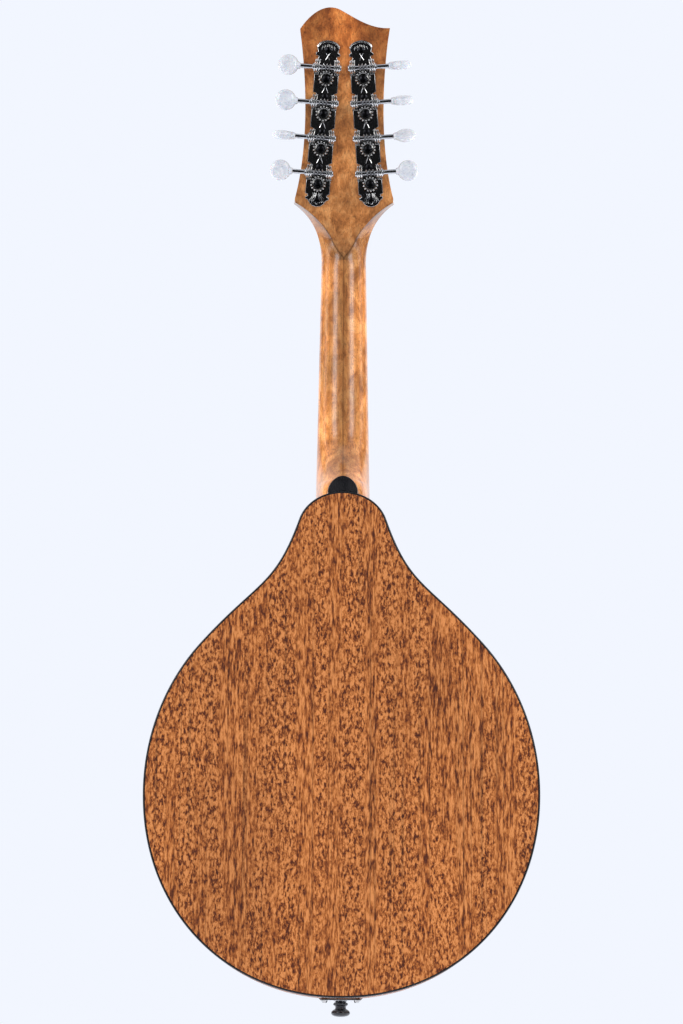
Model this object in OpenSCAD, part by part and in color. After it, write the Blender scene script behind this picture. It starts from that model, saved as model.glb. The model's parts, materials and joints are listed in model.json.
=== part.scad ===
// Flat-top A-style mandolin, an assembly of separate pieces in millimetres.
// +Z runs up the neck, the soundboard faces -Y and the back faces +Y.
// The origin is on the centre line at the tail end of the body, halfway through its depth.

/* [Body] */
// Greatest width of the body
body_w = 254; // [240:1:266]
// Length of the body from the tail to the neck joint
body_l = 326; // [322:1:330]
// Height of the widest point above the tail
waist_z = 130; // [124:1:136]
// Depth of the body over both plates
body_depth = 42; // [38:1:46]
// Thickness of the soundboard and of the back
plate_t = 3; // [2.5:0.1:3.5]
// Thickness of the bent sides
rib_t = 2.2; // [1.8:0.1:2.6]
// Width of the black binding seen from the back
binding_w = 1.4; // [1:0.1:1.8]

/* [Neck and fingerboard] */
// Open string length from the nut to the saddle
scale_l = 352; // [348:1:354]
// Distance from the body joint to the nut along the neck
nut_z = 167; // [165:1:169]
// Width of the neck at the nut
nut_w = 30.2; // [29:0.1:31]
// Width of the neck at the twelfth fret
octave_w = 36.4; // [35:0.1:38]
// Backward lean of the neck in degrees
neck_angle = 2; // [1.5:0.25:2.5]
// Thickness of the fingerboard
board_t = 5; // [4:0.5:6]
// Number of frets
fret_count = 20; // [18:1:20]

/* [Headstock] */
// Backward pitch of the headstock from the neck in degrees
head_pitch = 12; // [10:0.5:14]
// Thickness of the headstock wood
head_t = 13.5; // [12.5:0.5:14.5]
// Length from the nut to the top of the wave
head_l = 166; // [164:1:170]
// Half width of the headstock at its lower corners
corner_w = 34; // [33:0.5:35]

/* [Tuners] */
// Distance between neighbouring tuner posts
post_pitch = 23.5; // [23.2:0.1:23.8]
// Distance of the lowest post from the centre line
post_x = 17.6; // [17.2:0.1:18]
// Step of each higher post towards the centre line
post_step = 1.73; // [1.6:0.01:1.8]
// Radius of a string post
post_r = 3; // [2.9:0.05:3.1]
// Distance from the gear centre to the worm shaft
worm_offset = 7.4; // [7.4:0.05:7.5]
// Diameter of a round button
button_d = 14; // [13:0.5:15]
// Thickness of a button
button_t = 6; // [5:0.5:7]
// Distance from the gear centre to the button centre
button_reach = 26; // [25.5:0.5:27]

/* [Bridge and tailpiece] */
// Length of the bridge saddle
saddle_l = 92; // [88:1:100]
// Length of the bridge base
bridge_l = 112; // [106:1:118]
// Distance between the two bridge posts
bridge_post_pitch = 66; // [62:1:70]
// Width of the tailpiece
tail_w = 44; // [42:1:46]
// Length of the tailpiece over the soundboard
tail_l = 60; // [56:1:64]

/* [Hidden] */
$fn = 48;
TUNERS = ["bass_1", "bass_2", "bass_3", "bass_4", "treble_1", "treble_2", "treble_3", "treble_4"];
FIXED = [
    "soundboard", "back_plate", "ribs", "top_binding", "back_binding", "neck_block", "tail_block",
    "linings", "top_braces", "back_braces", "neck", "heel_cap", "headplate", "fingerboard", "frets",
    "fret_markers", "nut", "truss_rod", "truss_rod_nut", "truss_rod_cover", "truss_cover_screws",
    "bridge_base", "bridge_posts", "bridge_saddle", "thumbwheel_bass", "thumbwheel_treble",
    "tailpiece_base", "tailpiece_cover", "tailpiece_screws", "end_pin", "strings",
    "tuner_plate_bass", "tuner_plate_treble", "tuner_plate_screws", "tuner_bushings"
];

// Body
front_y = -body_depth / 2;
back_y = body_depth / 2;
half_w = body_w / 2;
crown_rx = 29.7;       // round top of the body beside the heel
crown_rz = 26;
crown_z = body_l - crown_rz;
crown_a = 17;          // where the crown leaves the concave shoulder
crown_pull = 48;       // length of the shoulder curve's handle at the crown
bout_a = 44;           // where the upper bout meets the concave shoulder
bout_pull = 55;
bout_l = 138;          // vertical half axis of the upper bout
bout_power = 2.09;     // the lower bout is a little fuller than an ellipse
lining_w = 5;
lining_h = 7;
brace_h = 8;
brace_w = 7;
hole_z = 205;
hole_rx = 29;
hole_rz = 19;
join_gap = 0.02;       // glue line between pieces that are only laid together

// Neck
nut_l = 4.5;
head_z = nut_z + nut_l;
neck_back = 14;        // depth of the neck below the fingerboard at the nut
neck_growth = 0.02;    // how fast that depth grows towards the heel
heel_l = 46;           // length of the heel curve
heel_rise = 22.5;      // how far the heel curve drops below the neck's own depth
heel_power = 2.6;      // how sharply it turns
back_flat = 1.5;       // half width of the narrow flat along the back of the neck
heel_cap_w = 19.6;
heel_cap_h = 10.4;
heel_cap_power = 1.8;  // a little more pointed than an ellipse
heel_cap_t = 2;
board_end = nut_z - 246;
fret_w = 1.8;
fret_h = 1.1;
nut_top = board_t + 1.6;
rod_y = 5.5;
rod_r = 2.5;
rod_pocket_r = 4.5;
headplate_t = 1.5;

// Tuners
running_fit = 0.06;
tuner_plate_t = 1.2;
tuner_plate_w = 16.6;
tuner_plate_low = 15;   // plate below the lowest gear centre
tuner_plate_high = 26;  // plate above the highest gear centre
first_post_s = 47;
splay = atan(post_step / post_pitch);
along = post_pitch / cos(splay);
shaft_h = 4.2;          // worm shaft axis above the plate
gear_teeth = 14;
gear_tip_r = 5.5;
gear_root_r = 4.1;
gear_t = 3;
worm_lead = 2 * PI * 5.15 / gear_teeth;
worm_turns = 3;
worm_core_r = 2.1;
worm_throw = 0.8;
shaft_r = 1.6;
shaft_end = button_reach - 5;
lug_t = 1.8;
lug_in = 6.4;           // inner face of each lug from the gear centre
lug_w = 5.2;
screw_r = 1.3;
// Rest angle of each button about its shaft, in the order of TUNERS
BUTTON_TURN = [0, 62, 76, 84, 0, 88, 0, 10];

// Strings from bass to treble: radius of each pair
STRING_R = [0.5, 0.33, 0.19, 0.14];
nut_course = 7.73;
nut_pair = 2;
saddle_course = 13;
saddle_pair = 2.8;
hook_z = 44;
hook_y = front_y - 5;
fret_action = 1.9;      // string over the twelfth fret

// Bridge heights over the soundboard
base_h = 5;
wheel_h = 2;
wheel_gap = 2;
wheel_r = 6.5;
stud_r = 1.6;
saddle_t = 9;

function mirrored(half) = concat(half, [for (i = [len(half) - 2:-1:1]) [-half[i][0], half[i][1]]]);
function arc(rx, rz, cz, a0, a1, n) =
    [for (i = [0:n]) let (a = a0 + (a1 - a0) * i / n) [rx * cos(a), cz + rz * sin(a)]];
function bezier(p0, p1, p2, p3, n) =
    [for (i = [1:n - 1]) let (t = i / n, u = 1 - t)
        u * u * u * p0 + 3 * u * u * t * p1 + 3 * u * t * t * p2 + t * t * t * p3];
function unit(v) = v / norm(v);
function superellipse(rx, rz, z, a, power) = [rx * sign(cos(a)) * pow(abs(cos(a)), 2 / power),
    z + rz * sign(sin(a)) * pow(abs(sin(a)), 2 / power)];

// Half of the body outline, from the tail up the +X side to the crown
bout_end = [half_w * cos(bout_a), waist_z + bout_l * sin(bout_a)];
bout_way = unit([-half_w * sin(bout_a), bout_l * cos(bout_a)]);
crown_start = [crown_rx * cos(crown_a), crown_z + crown_rz * sin(crown_a)];
crown_way = unit([-crown_rx * sin(crown_a), crown_rz * cos(crown_a)]);
half_outline = concat(
    [for (i = [0:21]) superellipse(half_w, waist_z, waist_z, -90 + 90 * i / 22, bout_power)],
    [for (i = [0:8]) [half_w * cos(bout_a * i / 9), waist_z + bout_l * sin(bout_a * i / 9)]],
    [bout_end],
    bezier(bout_end, bout_end + bout_pull * bout_way, crown_start - crown_pull * crown_way, crown_start, 9),
    arc(crown_rx, crown_rz, crown_z, crown_a, 90, 7));

module outline(inset = 0) {
    offset(delta = -inset) polygon(mirrored(half_outline));
}

// A flat layer of an x-z drawing between two y planes
module layer(y0, y1) {
    translate([0, y1, 0]) rotate([90, 0, 0]) linear_extrude(y1 - y0) children();
}

module both_sides() {
    children();
    mirror([1, 0, 0]) children();
}

module ellipse(rx, rz, z, power = 2) {
    polygon([for (i = [0:47]) superellipse(rx, rz, z, i * 7.5, power)]);
}

module neck_frame() {
    translate([0, front_y, body_l]) rotate([-neck_angle, 0, 0]) children();
}

module head_frame() {
    neck_frame() translate([0, 0, head_z]) rotate([-head_pitch, 0, 0]) children();
}

// Body shell

module soundboard() {
    color("burlywood") layer(front_y, front_y + plate_t) difference() {
        outline(binding_w);
        ellipse(hole_rx, hole_rz, hole_z);
    }
}

module back_plate() {
    color("peru") layer(back_y - plate_t, back_y) outline(binding_w);
}

module ribs() {
    color("saddlebrown") difference() {
        layer(front_y + plate_t, back_y - plate_t) difference() {
            outline();
            outline(rib_t);
        }
        end_pin_bore(pin_bore_r);
    }
}

module binding(y0, y1) {
    color("black") layer(y0, y1) difference() {
        outline();
        outline(binding_w);
    }
}

module top_binding() {
    binding(front_y, front_y + plate_t);
}

module back_binding() {
    binding(back_y - plate_t, back_y);
}

module lining_ring() {
    difference() {
        outline(rib_t);
        outline(rib_t + lining_w);
        translate([-35, crown_z - 10]) square([70, 60]);
        translate([-36, -1]) square([72, 30]);
    }
}

module linings() {
    color("wheat") {
        layer(front_y + plate_t, front_y + plate_t + lining_h) lining_ring();
        layer(back_y - plate_t - lining_h, back_y - plate_t) lining_ring();
    }
}

module block(z0, z1, w) {
    layer(front_y + plate_t, back_y - plate_t) intersection() {
        outline(rib_t);
        translate([-w / 2, z0]) square([w, z1 - z0]);
    }
}

module neck_block() {
    color("sienna") block(crown_z - 9, body_l, 68);
}

module tail_block() {
    color("sienna") difference() {
        block(-1, 28, 70);
        end_pin_bore(pin_bore_r);
    }
}

module brace(y0, z) {
    layer(y0, y0 + brace_h) intersection() {
        outline(rib_t + lining_w + 0.5);
        translate([-half_w, z]) square([body_w, brace_w]);
    }
}

module top_braces() {
    color("wheat") for (z = [70, 165, 232]) brace(front_y + plate_t, z);
}

module back_braces() {
    color("wheat") for (z = [60, 130, 200, 260]) brace(back_y - plate_t - brace_h, z);
}

// Neck

function neck_half(z) = (nut_w + (octave_w - nut_w) * (nut_z - z) / (scale_l / 2)) / 2;
function neck_deep(z) = neck_back + neck_growth * (nut_z - z)
    + heel_rise * pow(max(heel_l + heel_cap_h - max(z, heel_cap_h), 0) / heel_l, heel_power);
function heel_flat(z) = max(back_flat, heel_cap_w / 2
    * pow(1 - pow(min(max(z, 0) / heel_cap_h, 1), heel_cap_power), 1 / heel_cap_power));

// One cross-section: flat in front, rounded behind from half width w to a flat of half width f
function section(w, d, f) = concat(
    [for (i = [0:8]) [f + (w - f) * cos(i * 11.25), d * sin(i * 11.25)]],
    [for (i = [8:-1:0]) [-f - (w - f) * cos(i * 11.25), d * sin(i * 11.25)]]);
function neck_ring(z) = [for (p = section(neck_half(z), neck_deep(z), heel_flat(z))) [p[0], p[1], z]];

// The shoulders widen from the neck to the headstock corners, in the pitched frame
headplate_foot = [15.3, 3];
shoulder_s = 35;
shoulder_start = [neck_half(nut_z) + 0.2, 0];
shoulder = bezier(shoulder_start, [16, 13], [21, 26], [corner_w, shoulder_s], 7);
function pitched(p, s) = [p[0], p[1] * cos(head_pitch) + s * sin(head_pitch),
    head_z - p[1] * sin(head_pitch) + s * cos(head_pitch)];
function shoulder_flat(q) = max(back_flat, (q[0] - 4) * min(1, q[1] / 30));
function shoulder_ring(q) = [for (p = section(q[0], head_t - join_gap, shoulder_flat(q)))
    pitched([p[0], p[1] + join_gap / 2], q[1])];

neck_rings = concat(
    [for (z = [-16, 0, 4, 7, 9, 10.5]) neck_ring(z)],
    [for (z = [14:5:59]) neck_ring(z)],
    [for (z = [75, 100, 130, 150, nut_z]) neck_ring(z)],
    [for (q = shoulder) shoulder_ring(q)],
    [shoulder_ring([corner_w - 0.02, shoulder_s])]);

module loft(rings) {
    n = len(rings[0]);
    m = len(rings);
    polyhedron(
        points = [for (r = rings) for (p = r) p],
        faces = concat(
            [[for (i = [0:n - 1]) i]],
            [for (j = [0:m - 2]) for (i = [0:n - 1]) [j * n + i, (j + 1) * n + i, j * n + (i + 1) % n]],
            [for (j = [0:m - 2]) for (i = [0:n - 1])
                [(j + 1) * n + i, (j + 1) * n + (i + 1) % n, j * n + (i + 1) % n]],
            [[for (i = [n - 1:-1:0]) (m - 1) * n + i]]));
}

// Headstock outline above the shoulders: waisted sides, a hump on +X and a sharp point on -X
point_s = head_l - 15.5;
head_side = bezier([corner_w, shoulder_s], [28, 55], [22.5, 95], [30, point_s], 10);
head_wave = concat(
    bezier([30, point_s + 1], [23, head_l - 4], [13, head_l + 3], [3.4, head_l - 1.5], 8),
    [[3.4, head_l - 1.5]],
    bezier([3.4, head_l - 1.5], [-7, head_l - 7], [-16, point_s + 1], [-30, point_s], 7));
head_top = concat([[corner_w, shoulder_s]], head_side, [[30, point_s + 1]], head_wave,
    [[-30, point_s]], [for (i = [len(head_side) - 1:-1:0]) [-head_side[i][0], head_side[i][1]]],
    [[-corner_w, shoulder_s]]);
head_shoulders = concat([headplate_foot], shoulder, head_top,
    [for (i = [len(shoulder) - 1:-1:0]) [-shoulder[i][0], shoulder[i][1]]],
    [[-headplate_foot[0], headplate_foot[1]]]);

module post_bores(r, y0, y1) {
    for (side = [-1, 1]) for (i = [0:3])
        translate([side * (post_x - i * post_step), y0, first_post_s + i * post_pitch])
            rotate([-90, 0, 0]) cylinder(r = r, h = y1 - y0);
}

module neck() {
    color("saddlebrown") difference() {
        union() {
            neck_frame() loft(neck_rings);
            head_frame() layer(0, head_t)
                polygon(concat([[20, shoulder_s - 5]], head_top, [[-20, shoulder_s - 5]]));
        }
        layer(front_y - 1, back_y + 5) outline();
        translate([-30, front_y - 20, body_l - 40]) cube([60, 20, 40]);
        translate([-30, back_y - heel_cap_t, body_l - 30]) cube([60, 30, 50]);
        head_frame() post_bores(post_r + 0.4, -1, head_t + 1);
        head_frame() post_bores(bushing_r, -1, bushing_deep);
        neck_frame() rod_bore();
        neck_frame() rod_pocket();
    }
}

module rod_bore() {
    translate([0, rod_y, 8]) cylinder(r = rod_r + 0.05, h = head_z);
}

module rod_pocket() {
    translate([0, rod_y, head_z + 3]) cylinder(r = rod_pocket_r, h = 14);
    translate([-rod_pocket_r, rod_y - 8, head_z + 3]) cube([2 * rod_pocket_r, 8, 14]);
}

module heel_cap() {
    color("black") layer(back_y - heel_cap_t, back_y) difference() {
        ellipse(heel_cap_w / 2, heel_cap_h, body_l, heel_cap_power);
        outline();
    }
}

module headplate() {
    color("black") difference() {
        head_frame() layer(-headplate_t, -join_gap) polygon(head_shoulders);
        head_frame() post_bores(bushing_r, -headplate_t - 1, 1);
        neck_frame() rod_pocket();
    }
}

module fingerboard_outline() {
    polygon(mirrored([
        [0, board_end], [neck_half(board_end), board_end], [neck_half(nut_z), nut_z], [0, nut_z]]));
}

fret_dots = [5, 7, 10, 12, 15];
dot_r = 2.5;
dot_t = 1.2;
function fret_z(n) = nut_z - scale_l * (1 - pow(2, -n / 12));
function dot_xs(n) = n == 12 ? [-6, 6] : [0];

module dots(y0, y1) {
    for (n = fret_dots) for (x = dot_xs(n))
        translate([x, y0, (fret_z(n) + fret_z(n - 1)) / 2]) rotate([-90, 0, 0])
            cylinder(r = dot_r, h = y1 - y0);
}

// The part over the body is wedge-shaped, because the neck leans back and the soundboard doesn't
module fingerboard() {
    color("#241a16") neck_frame() difference() {
        intersection() {
            layer(-board_t, 10) fingerboard_outline();
            rotate([90, 0, 90]) translate([0, 0, -40]) linear_extrude(80)
                polygon([[-board_t, board_end], [-board_t, nut_z], [0, nut_z], [0, 0],
                    [-board_end * tan(neck_angle), board_end]]);
        }
        dots(-board_t - 1, dot_t - board_t);
    }
}

module frets() {
    color("silver") neck_frame() for (n = [1:fret_count])
        translate([0, -board_t, fret_z(n)]) rotate([0, 90, 0])
            linear_extrude(2 * neck_half(fret_z(n)) - 1, center = true)
                polygon([[-fret_w / 2, 0], [-fret_w / 3, -fret_h * 0.8], [0, -fret_h],
                    [fret_w / 3, -fret_h * 0.8], [fret_w / 2, 0]]);
}

module fret_markers() {
    color("white") neck_frame() dots(-board_t, dot_t - board_t);
}

module nut() {
    color("ivory") neck_frame() translate([-nut_w / 2, -nut_top, nut_z]) cube([nut_w, nut_top, nut_l]);
}

module truss_rod() {
    color("gray") neck_frame() translate([0, rod_y, 8]) cylinder(r = rod_r, h = head_z + 1);
}

module truss_rod_nut() {
    color("goldenrod") neck_frame() translate([0, rod_y, head_z + 5]) difference() {
        cylinder(r = 3.8, h = 9);
        translate([0, 0, -1]) cylinder(r = rod_r + running_fit, h = 5.5);
        translate([0, 0, 5]) cylinder(r = 2.2, h = 6, $fn = 6);
    }
}

cover_low = 1.5;
cover_high = 30;
cover_screws = [[0, 27], [-5.8, 4.5], [5.8, 4.5]];

module truss_rod_cover() {
    color("#1b1b1b") head_frame() difference() {
        layer(-headplate_t - 1.5, -headplate_t) polygon(mirrored([
            [0, cover_low], [7.5, cover_low], [8, 12], [4, 24], [3, cover_high], [0, cover_high + 1]]));
        for (p = cover_screws) translate([p[0], -5, p[1]]) rotate([-90, 0, 0]) cylinder(r = 0.9, h = 5);
    }
}

module truss_cover_screws() {
    color("silver") head_frame() for (p = cover_screws)
        translate([p[0], -headplate_t - 2.3, p[1]]) rotate([-90, 0, 0]) {
            cylinder(r = 1.5, h = 0.8);
            cylinder(r = 0.88, h = 2.3);
        }
}

// Tuners, drawn for the side whose buttons point to +X

bushing_r = 4.4;
bushing_deep = 6;
post_front = 12;         // post above the headplate

module tuner_place(i, side) {
    head_frame() mirror([side < 0 ? 1 : 0, 0, 0])
        translate([post_x - i * post_step, head_t, first_post_s + i * post_pitch])
            rotate([0, -splay, 0]) children();
}

module tuner_plate_shape() {
    top = 3 * along + tuner_plate_high;
    hull() {
        translate([0, -tuner_plate_low + 7]) circle(r = 7, $fn = 40);
        translate([-tuner_plate_w / 2 + 1.3, 0]) square([tuner_plate_w - 2.6, 5]);
    }
    translate([-tuner_plate_w / 2 + 1.3, 0]) square([tuner_plate_w - 2.6, top - 14]);
    below_foot_gear = 6.2;
    below_gear = 9.2;
    above_gear = 12.7;
    for (i = [0:3]) {
        low = i == 0 ? below_foot_gear : below_gear;
        translate([-tuner_plate_w / 2, i * along - low]) square([tuner_plate_w, low + above_gear]);
    }
    translate([-tuner_plate_w / 2, top - 17]) square([tuner_plate_w, 5]);
    translate([0, top - 7.5]) circle(r = 7.5, $fn = 40);
    translate([-7.5, top - 14]) square([15, 7]);
}

plate_screws = [-10, along - 11.7, 2 * along - 11.7, 3 * along - 11.7, 3 * along + 20];

module screw_holes(r, h) {
    for (z = plate_screws) translate([0, -0.01, z]) rotate([-90, 0, 0]) cylinder(r = r, h = h);
}

module tuner_plate(side) {
    color("silver") tuner_place(0, side) {
        difference() {
            layer(0, tuner_plate_t) tuner_plate_shape();
            for (i = [0:3]) translate([0, -1, i * along]) rotate([-90, 0, 0])
                cylinder(r = post_r + running_fit, h = 5);
            screw_holes(screw_r + 0.02, 5);
        }
        for (i = [0:3]) for (x = [-lug_in - lug_t, lug_in])
            difference() {
                translate([x, tuner_plate_t - 0.2, i * along + worm_offset - lug_w / 2])
                    cube([lug_t, shaft_h + lug_w / 2, lug_w]);
                translate([x - 1, tuner_plate_t + shaft_h, i * along + worm_offset]) rotate([0, 90, 0])
                    cylinder(r = shaft_r + running_fit, h = lug_t + 2);
            }
    }
}

module tuner_plate_bass() {
    tuner_plate(-1);
}

module tuner_plate_treble() {
    tuner_plate(1);
}

module tuner_plate_screws() {
    color("silver") for (side = [-1, 1]) tuner_place(0, side) for (z = plate_screws)
        translate([0, tuner_plate_t + join_gap, z]) rotate([-90, 0, 0]) {
            cylinder(r1 = 2.2, r2 = 1.5, h = 0.9);
            translate([0, 0, -tuner_plate_t]) cylinder(r = screw_r, h = tuner_plate_t);
        }
}

module tuner_bushings() {
    color("silver") for (side = [-1, 1]) for (i = [0:3]) tuner_place(i, side) rotate([0, splay, 0])
        translate([0, -head_t, 0]) rotate([-90, 0, 0]) difference() {
            union() {
                translate([0, 0, -headplate_t])
                    cylinder(r = bushing_r - join_gap, h = headplate_t + bushing_deep - join_gap);
                translate([0, 0, -headplate_t - 1]) cylinder(r = 5.4, h = 1 - join_gap);
            }
            translate([0, 0, -5]) cylinder(r = post_r + running_fit, h = 20);
        }
}

root_half = 0.52;       // half widths of a tooth
tip_half = 0.22;
function tooth(a) = [
    for (p = [[gear_root_r, -root_half], [gear_tip_r, -tip_half],
        [gear_tip_r, tip_half], [gear_root_r, root_half]])
        [p[0] * cos(a) - p[1] * sin(a), p[0] * sin(a) + p[1] * cos(a)]];

module gear() {
    polygon([for (k = [0:gear_teeth - 1]) for (p = tooth(90 + k * 360 / gear_teeth)) p]);
}

module tuner_post(i, side) {
    front = head_t + headplate_t + 1 + post_front;
    color("silver") tuner_place(i, side) {
        difference() {
            translate([0, -front, 0]) rotate([-90, 0, 0]) cylinder(r = post_r, h = front + tuner_plate_t + 1);
            translate([0, post_front / 2 - front, 0]) rotate([0, 90, 0])
                cylinder(r = 0.8, h = 20, center = true);
        }
        translate([0, tuner_plate_t + shaft_h - gear_t / 2, 0]) {
            layer(0, gear_t) gear();
            rotate([-90, 0, 0]) translate([0, 0, -(shaft_h - gear_t / 2) + 0.15])
                cylinder(r = 4, h = shaft_h - gear_t / 2);
            rotate([-90, 0, 0]) cylinder(r = 2.6, h = gear_t + 0.9);
        }
    }
}

module on_worm_axis(i, side) {
    tuner_place(i, side) translate([0, tuner_plate_t + shaft_h, worm_offset]) children();
}

// The worm is a round core turned about an axis beside its own centre
module worm(i, side) {
    color("silver") on_worm_axis(i, side) rotate([0, 90, 0]) {
        translate([0, 0, -worm_turns * worm_lead / 2]) linear_extrude(worm_turns * worm_lead,
            twist = 360 * worm_turns, slices = 9 * worm_turns, $fn = 16)
                translate([worm_throw, 0]) circle(r = worm_core_r, $fn = 16);
        translate([0, 0, -lug_in - lug_t - 0.6]) cylinder(r = shaft_r, h = shaft_end + lug_in + lug_t + 0.6);
        translate([0, 0, lug_in + lug_t + 0.3]) cylinder(r = 2.4, h = 1.2);
        translate([0, 0, -lug_in - lug_t - 1.5]) cylinder(r = 2.3, h = 1.2);
    }
}

module button(i, side, turn) {
    stem = button_reach - button_d / 2 - 1.2;
    color("ivory") on_worm_axis(i, side) rotate([turn, 0, 0])
        difference() {
            union() {
                translate([button_reach, 0, 0]) rotate([90, 0, 0]) rotate_extrude()
                    polygon([[0, -button_t / 2], [button_d / 2 - 1.4, -button_t / 2],
                        [button_d / 2, -button_t / 4], [button_d / 2, button_t / 4],
                        [button_d / 2 - 1.4, button_t / 2], [0, button_t / 2]]);
                translate([stem, 0, 0]) rotate([0, 90, 0]) cylinder(r1 = 2.3, r2 = 2.8, h = 3);
            }
            translate([stem - 1, 0, 0]) rotate([0, 90, 0])
                cylinder(r = shaft_r + 0.01, h = shaft_end + join_gap + 1 - stem);
        }
}

// Bridge

saddle_top = string_y(nut_z - scale_l);
function string_neck_y(z) = -nut_top
    - (nut_z - z) / (scale_l / 2) * (board_t + fret_h + fret_action - nut_top);
function string_y(z) = front_y + string_neck_y(z) * cos(neck_angle) + z * sin(neck_angle);
bridge_z = body_l + (nut_z - scale_l) * cos(neck_angle) - string_neck_y(nut_z - scale_l) * sin(neck_angle);
base_y = front_y - base_h;
wheel_y = base_y - wheel_gap - wheel_h;
foot_l = 38;

module on_studs() {
    for (x = [-bridge_post_pitch / 2, bridge_post_pitch / 2]) translate([x, 0, bridge_z]) children();
}

module bridge_base() {
    color("#241a16") difference() {
        translate([0, 0, bridge_z - 6]) linear_extrude(12)
            polygon(concat(
                [[-bridge_l / 2, front_y], [-bridge_l / 2, front_y - 2], [-bridge_l / 2 + 14, base_y],
                    [bridge_l / 2 - 14, base_y], [bridge_l / 2, front_y - 2], [bridge_l / 2, front_y]],
                [[bridge_l / 2 - foot_l, front_y], [bridge_l / 2 - foot_l - 4, front_y - 1.5],
                    [-bridge_l / 2 + foot_l + 4, front_y - 1.5], [-bridge_l / 2 + foot_l, front_y]]));
        on_studs() translate([0, front_y + 0.01, 0]) rotate([90, 0, 0]) cylinder(r = stud_r, h = 20);
    }
}

module bridge_posts() {
    color("silver") on_studs() translate([0, front_y - 0.6, 0]) rotate([90, 0, 0])
        cylinder(r = stud_r, h = front_y - 0.6 - (wheel_y - 4.5));
}

module thumbwheel(x) {
    color("silver") translate([x, wheel_y, bridge_z]) rotate([-90, 0, 0]) difference() {
        linear_extrude(wheel_h)
            polygon([for (i = [0:47]) (wheel_r - (i % 2) * 0.4) * [cos(i * 7.5), sin(i * 7.5)]]);
        translate([0, 0, -1]) cylinder(r = stud_r + running_fit, h = 9);
    }
}

module thumbwheel_bass() {
    thumbwheel(-bridge_post_pitch / 2);
}

module thumbwheel_treble() {
    thumbwheel(bridge_post_pitch / 2);
}

module bridge_saddle() {
    color("#241a16") difference() {
        intersection() {
            translate([0, 0, bridge_z - saddle_t / 2]) linear_extrude(saddle_t) polygon([
                [-saddle_l / 2, wheel_y - 0.05], [-saddle_l / 2, wheel_y - 2.5],
                [-saddle_l / 2 + 14, saddle_top + 1.6], [-28, saddle_top],
                [28, saddle_top], [saddle_l / 2 - 14, saddle_top + 1.6],
                [saddle_l / 2, wheel_y - 2.5], [saddle_l / 2, wheel_y - 0.05]]);
            translate([-saddle_l, 0, bridge_z]) rotate([90, 0, 90]) linear_extrude(2 * saddle_l) polygon([
                [wheel_y + 1, -saddle_t / 2], [wheel_y + 1, saddle_t / 2], [saddle_top + 2, saddle_t / 2],
                [saddle_top, 0.5], [saddle_top, -0.5], [saddle_top + 2, -saddle_t / 2]]);
        }
        on_studs() translate([0, wheel_y + 1, 0]) rotate([90, 0, 0])
            cylinder(r = stud_r + running_fit, h = 7);
    }
}

// Tailpiece

tail_sheet = 1.2;
tail_screws = [[-10.3, 3], [10.3, 3]];
flap_w = 25;
flap_l = body_depth - 10;
tail_corner = 8;
pin_bore_r = 3.2;
pin_l = 10.3;
pin_head_r = 6.05;
pin_neck_r = 3.4;
pin_flange_r = 4.75;

module end_pin_bore(r) {
    translate([0, 0, -20]) cylinder(r = r, h = 60);
}

module tailpiece_base() {
    color("silver") difference() {
        union() {
            layer(front_y - tail_sheet, front_y) polygon(mirrored([
                [0, -tail_sheet], [flap_w / 2, -tail_sheet], [tail_w / 2, tail_corner],
                [tail_w / 2, tail_l - tail_sheet], [0, tail_l - tail_sheet]]));
            translate([-flap_w / 2, front_y - tail_sheet, -tail_sheet]) cube([flap_w, flap_l, tail_sheet]);
            for (k = [-3.5:1:3.5]) translate([k * 4.6 - 0.8, hook_y - 0.6, hook_z - 6]) cube([1.6, 4.5, 1.4]);
        }
        end_pin_bore(pin_bore_r);
        for (p = tail_screws) translate([p[0], p[1], -5]) cylinder(r = 1.5, h = 10);
    }
}

module tailpiece_cover() {
    y = front_y - tail_sheet;
    color("silver") difference() {
        translate([0, 0, 4]) linear_extrude(tail_l - 12) polygon([
            [-tail_w / 2 + 0.5, y - 0.1], [-tail_w / 2 + 2, y - 7], [0, y - 9], [tail_w / 2 - 2, y - 7],
            [tail_w / 2 - 0.5, y - 0.1]]);
        translate([0, 0, 2]) linear_extrude(tail_l) polygon([
            [-tail_w / 2 + 1.7, y + 1], [-tail_w / 2 + 3, y - 6], [0, y - 8], [tail_w / 2 - 3, y - 6],
            [tail_w / 2 - 1.7, y + 1]]);
    }
}

module tailpiece_screws() {
    color("silver") for (p = tail_screws) translate([p[0], p[1], -tail_sheet - 1.5 - join_gap]) {
        cylinder(r1 = 1.5, r2 = 2.1, h = 1.5);
        cylinder(r = 1.45, h = 1.5 + tail_sheet);
    }
}

module end_pin() {
    color("#1b1b1b") translate([0, 0, -pin_l - tail_sheet]) {
        rotate_extrude() polygon([
            [0, 0], [4, 0], [pin_head_r, 1.6], [pin_head_r, 3.2], [5, 4.4], [pin_neck_r, 4.9],
            [pin_neck_r, 6.6], [pin_flange_r, 7.3], [pin_flange_r, 8.8], [pin_neck_r, 9.6],
            [pin_neck_r, pin_l - join_gap], [0, pin_l - join_gap]]);
        cylinder(r = pin_bore_r - 0.05, h = pin_l + 22);
    }
}

// Strings

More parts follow.
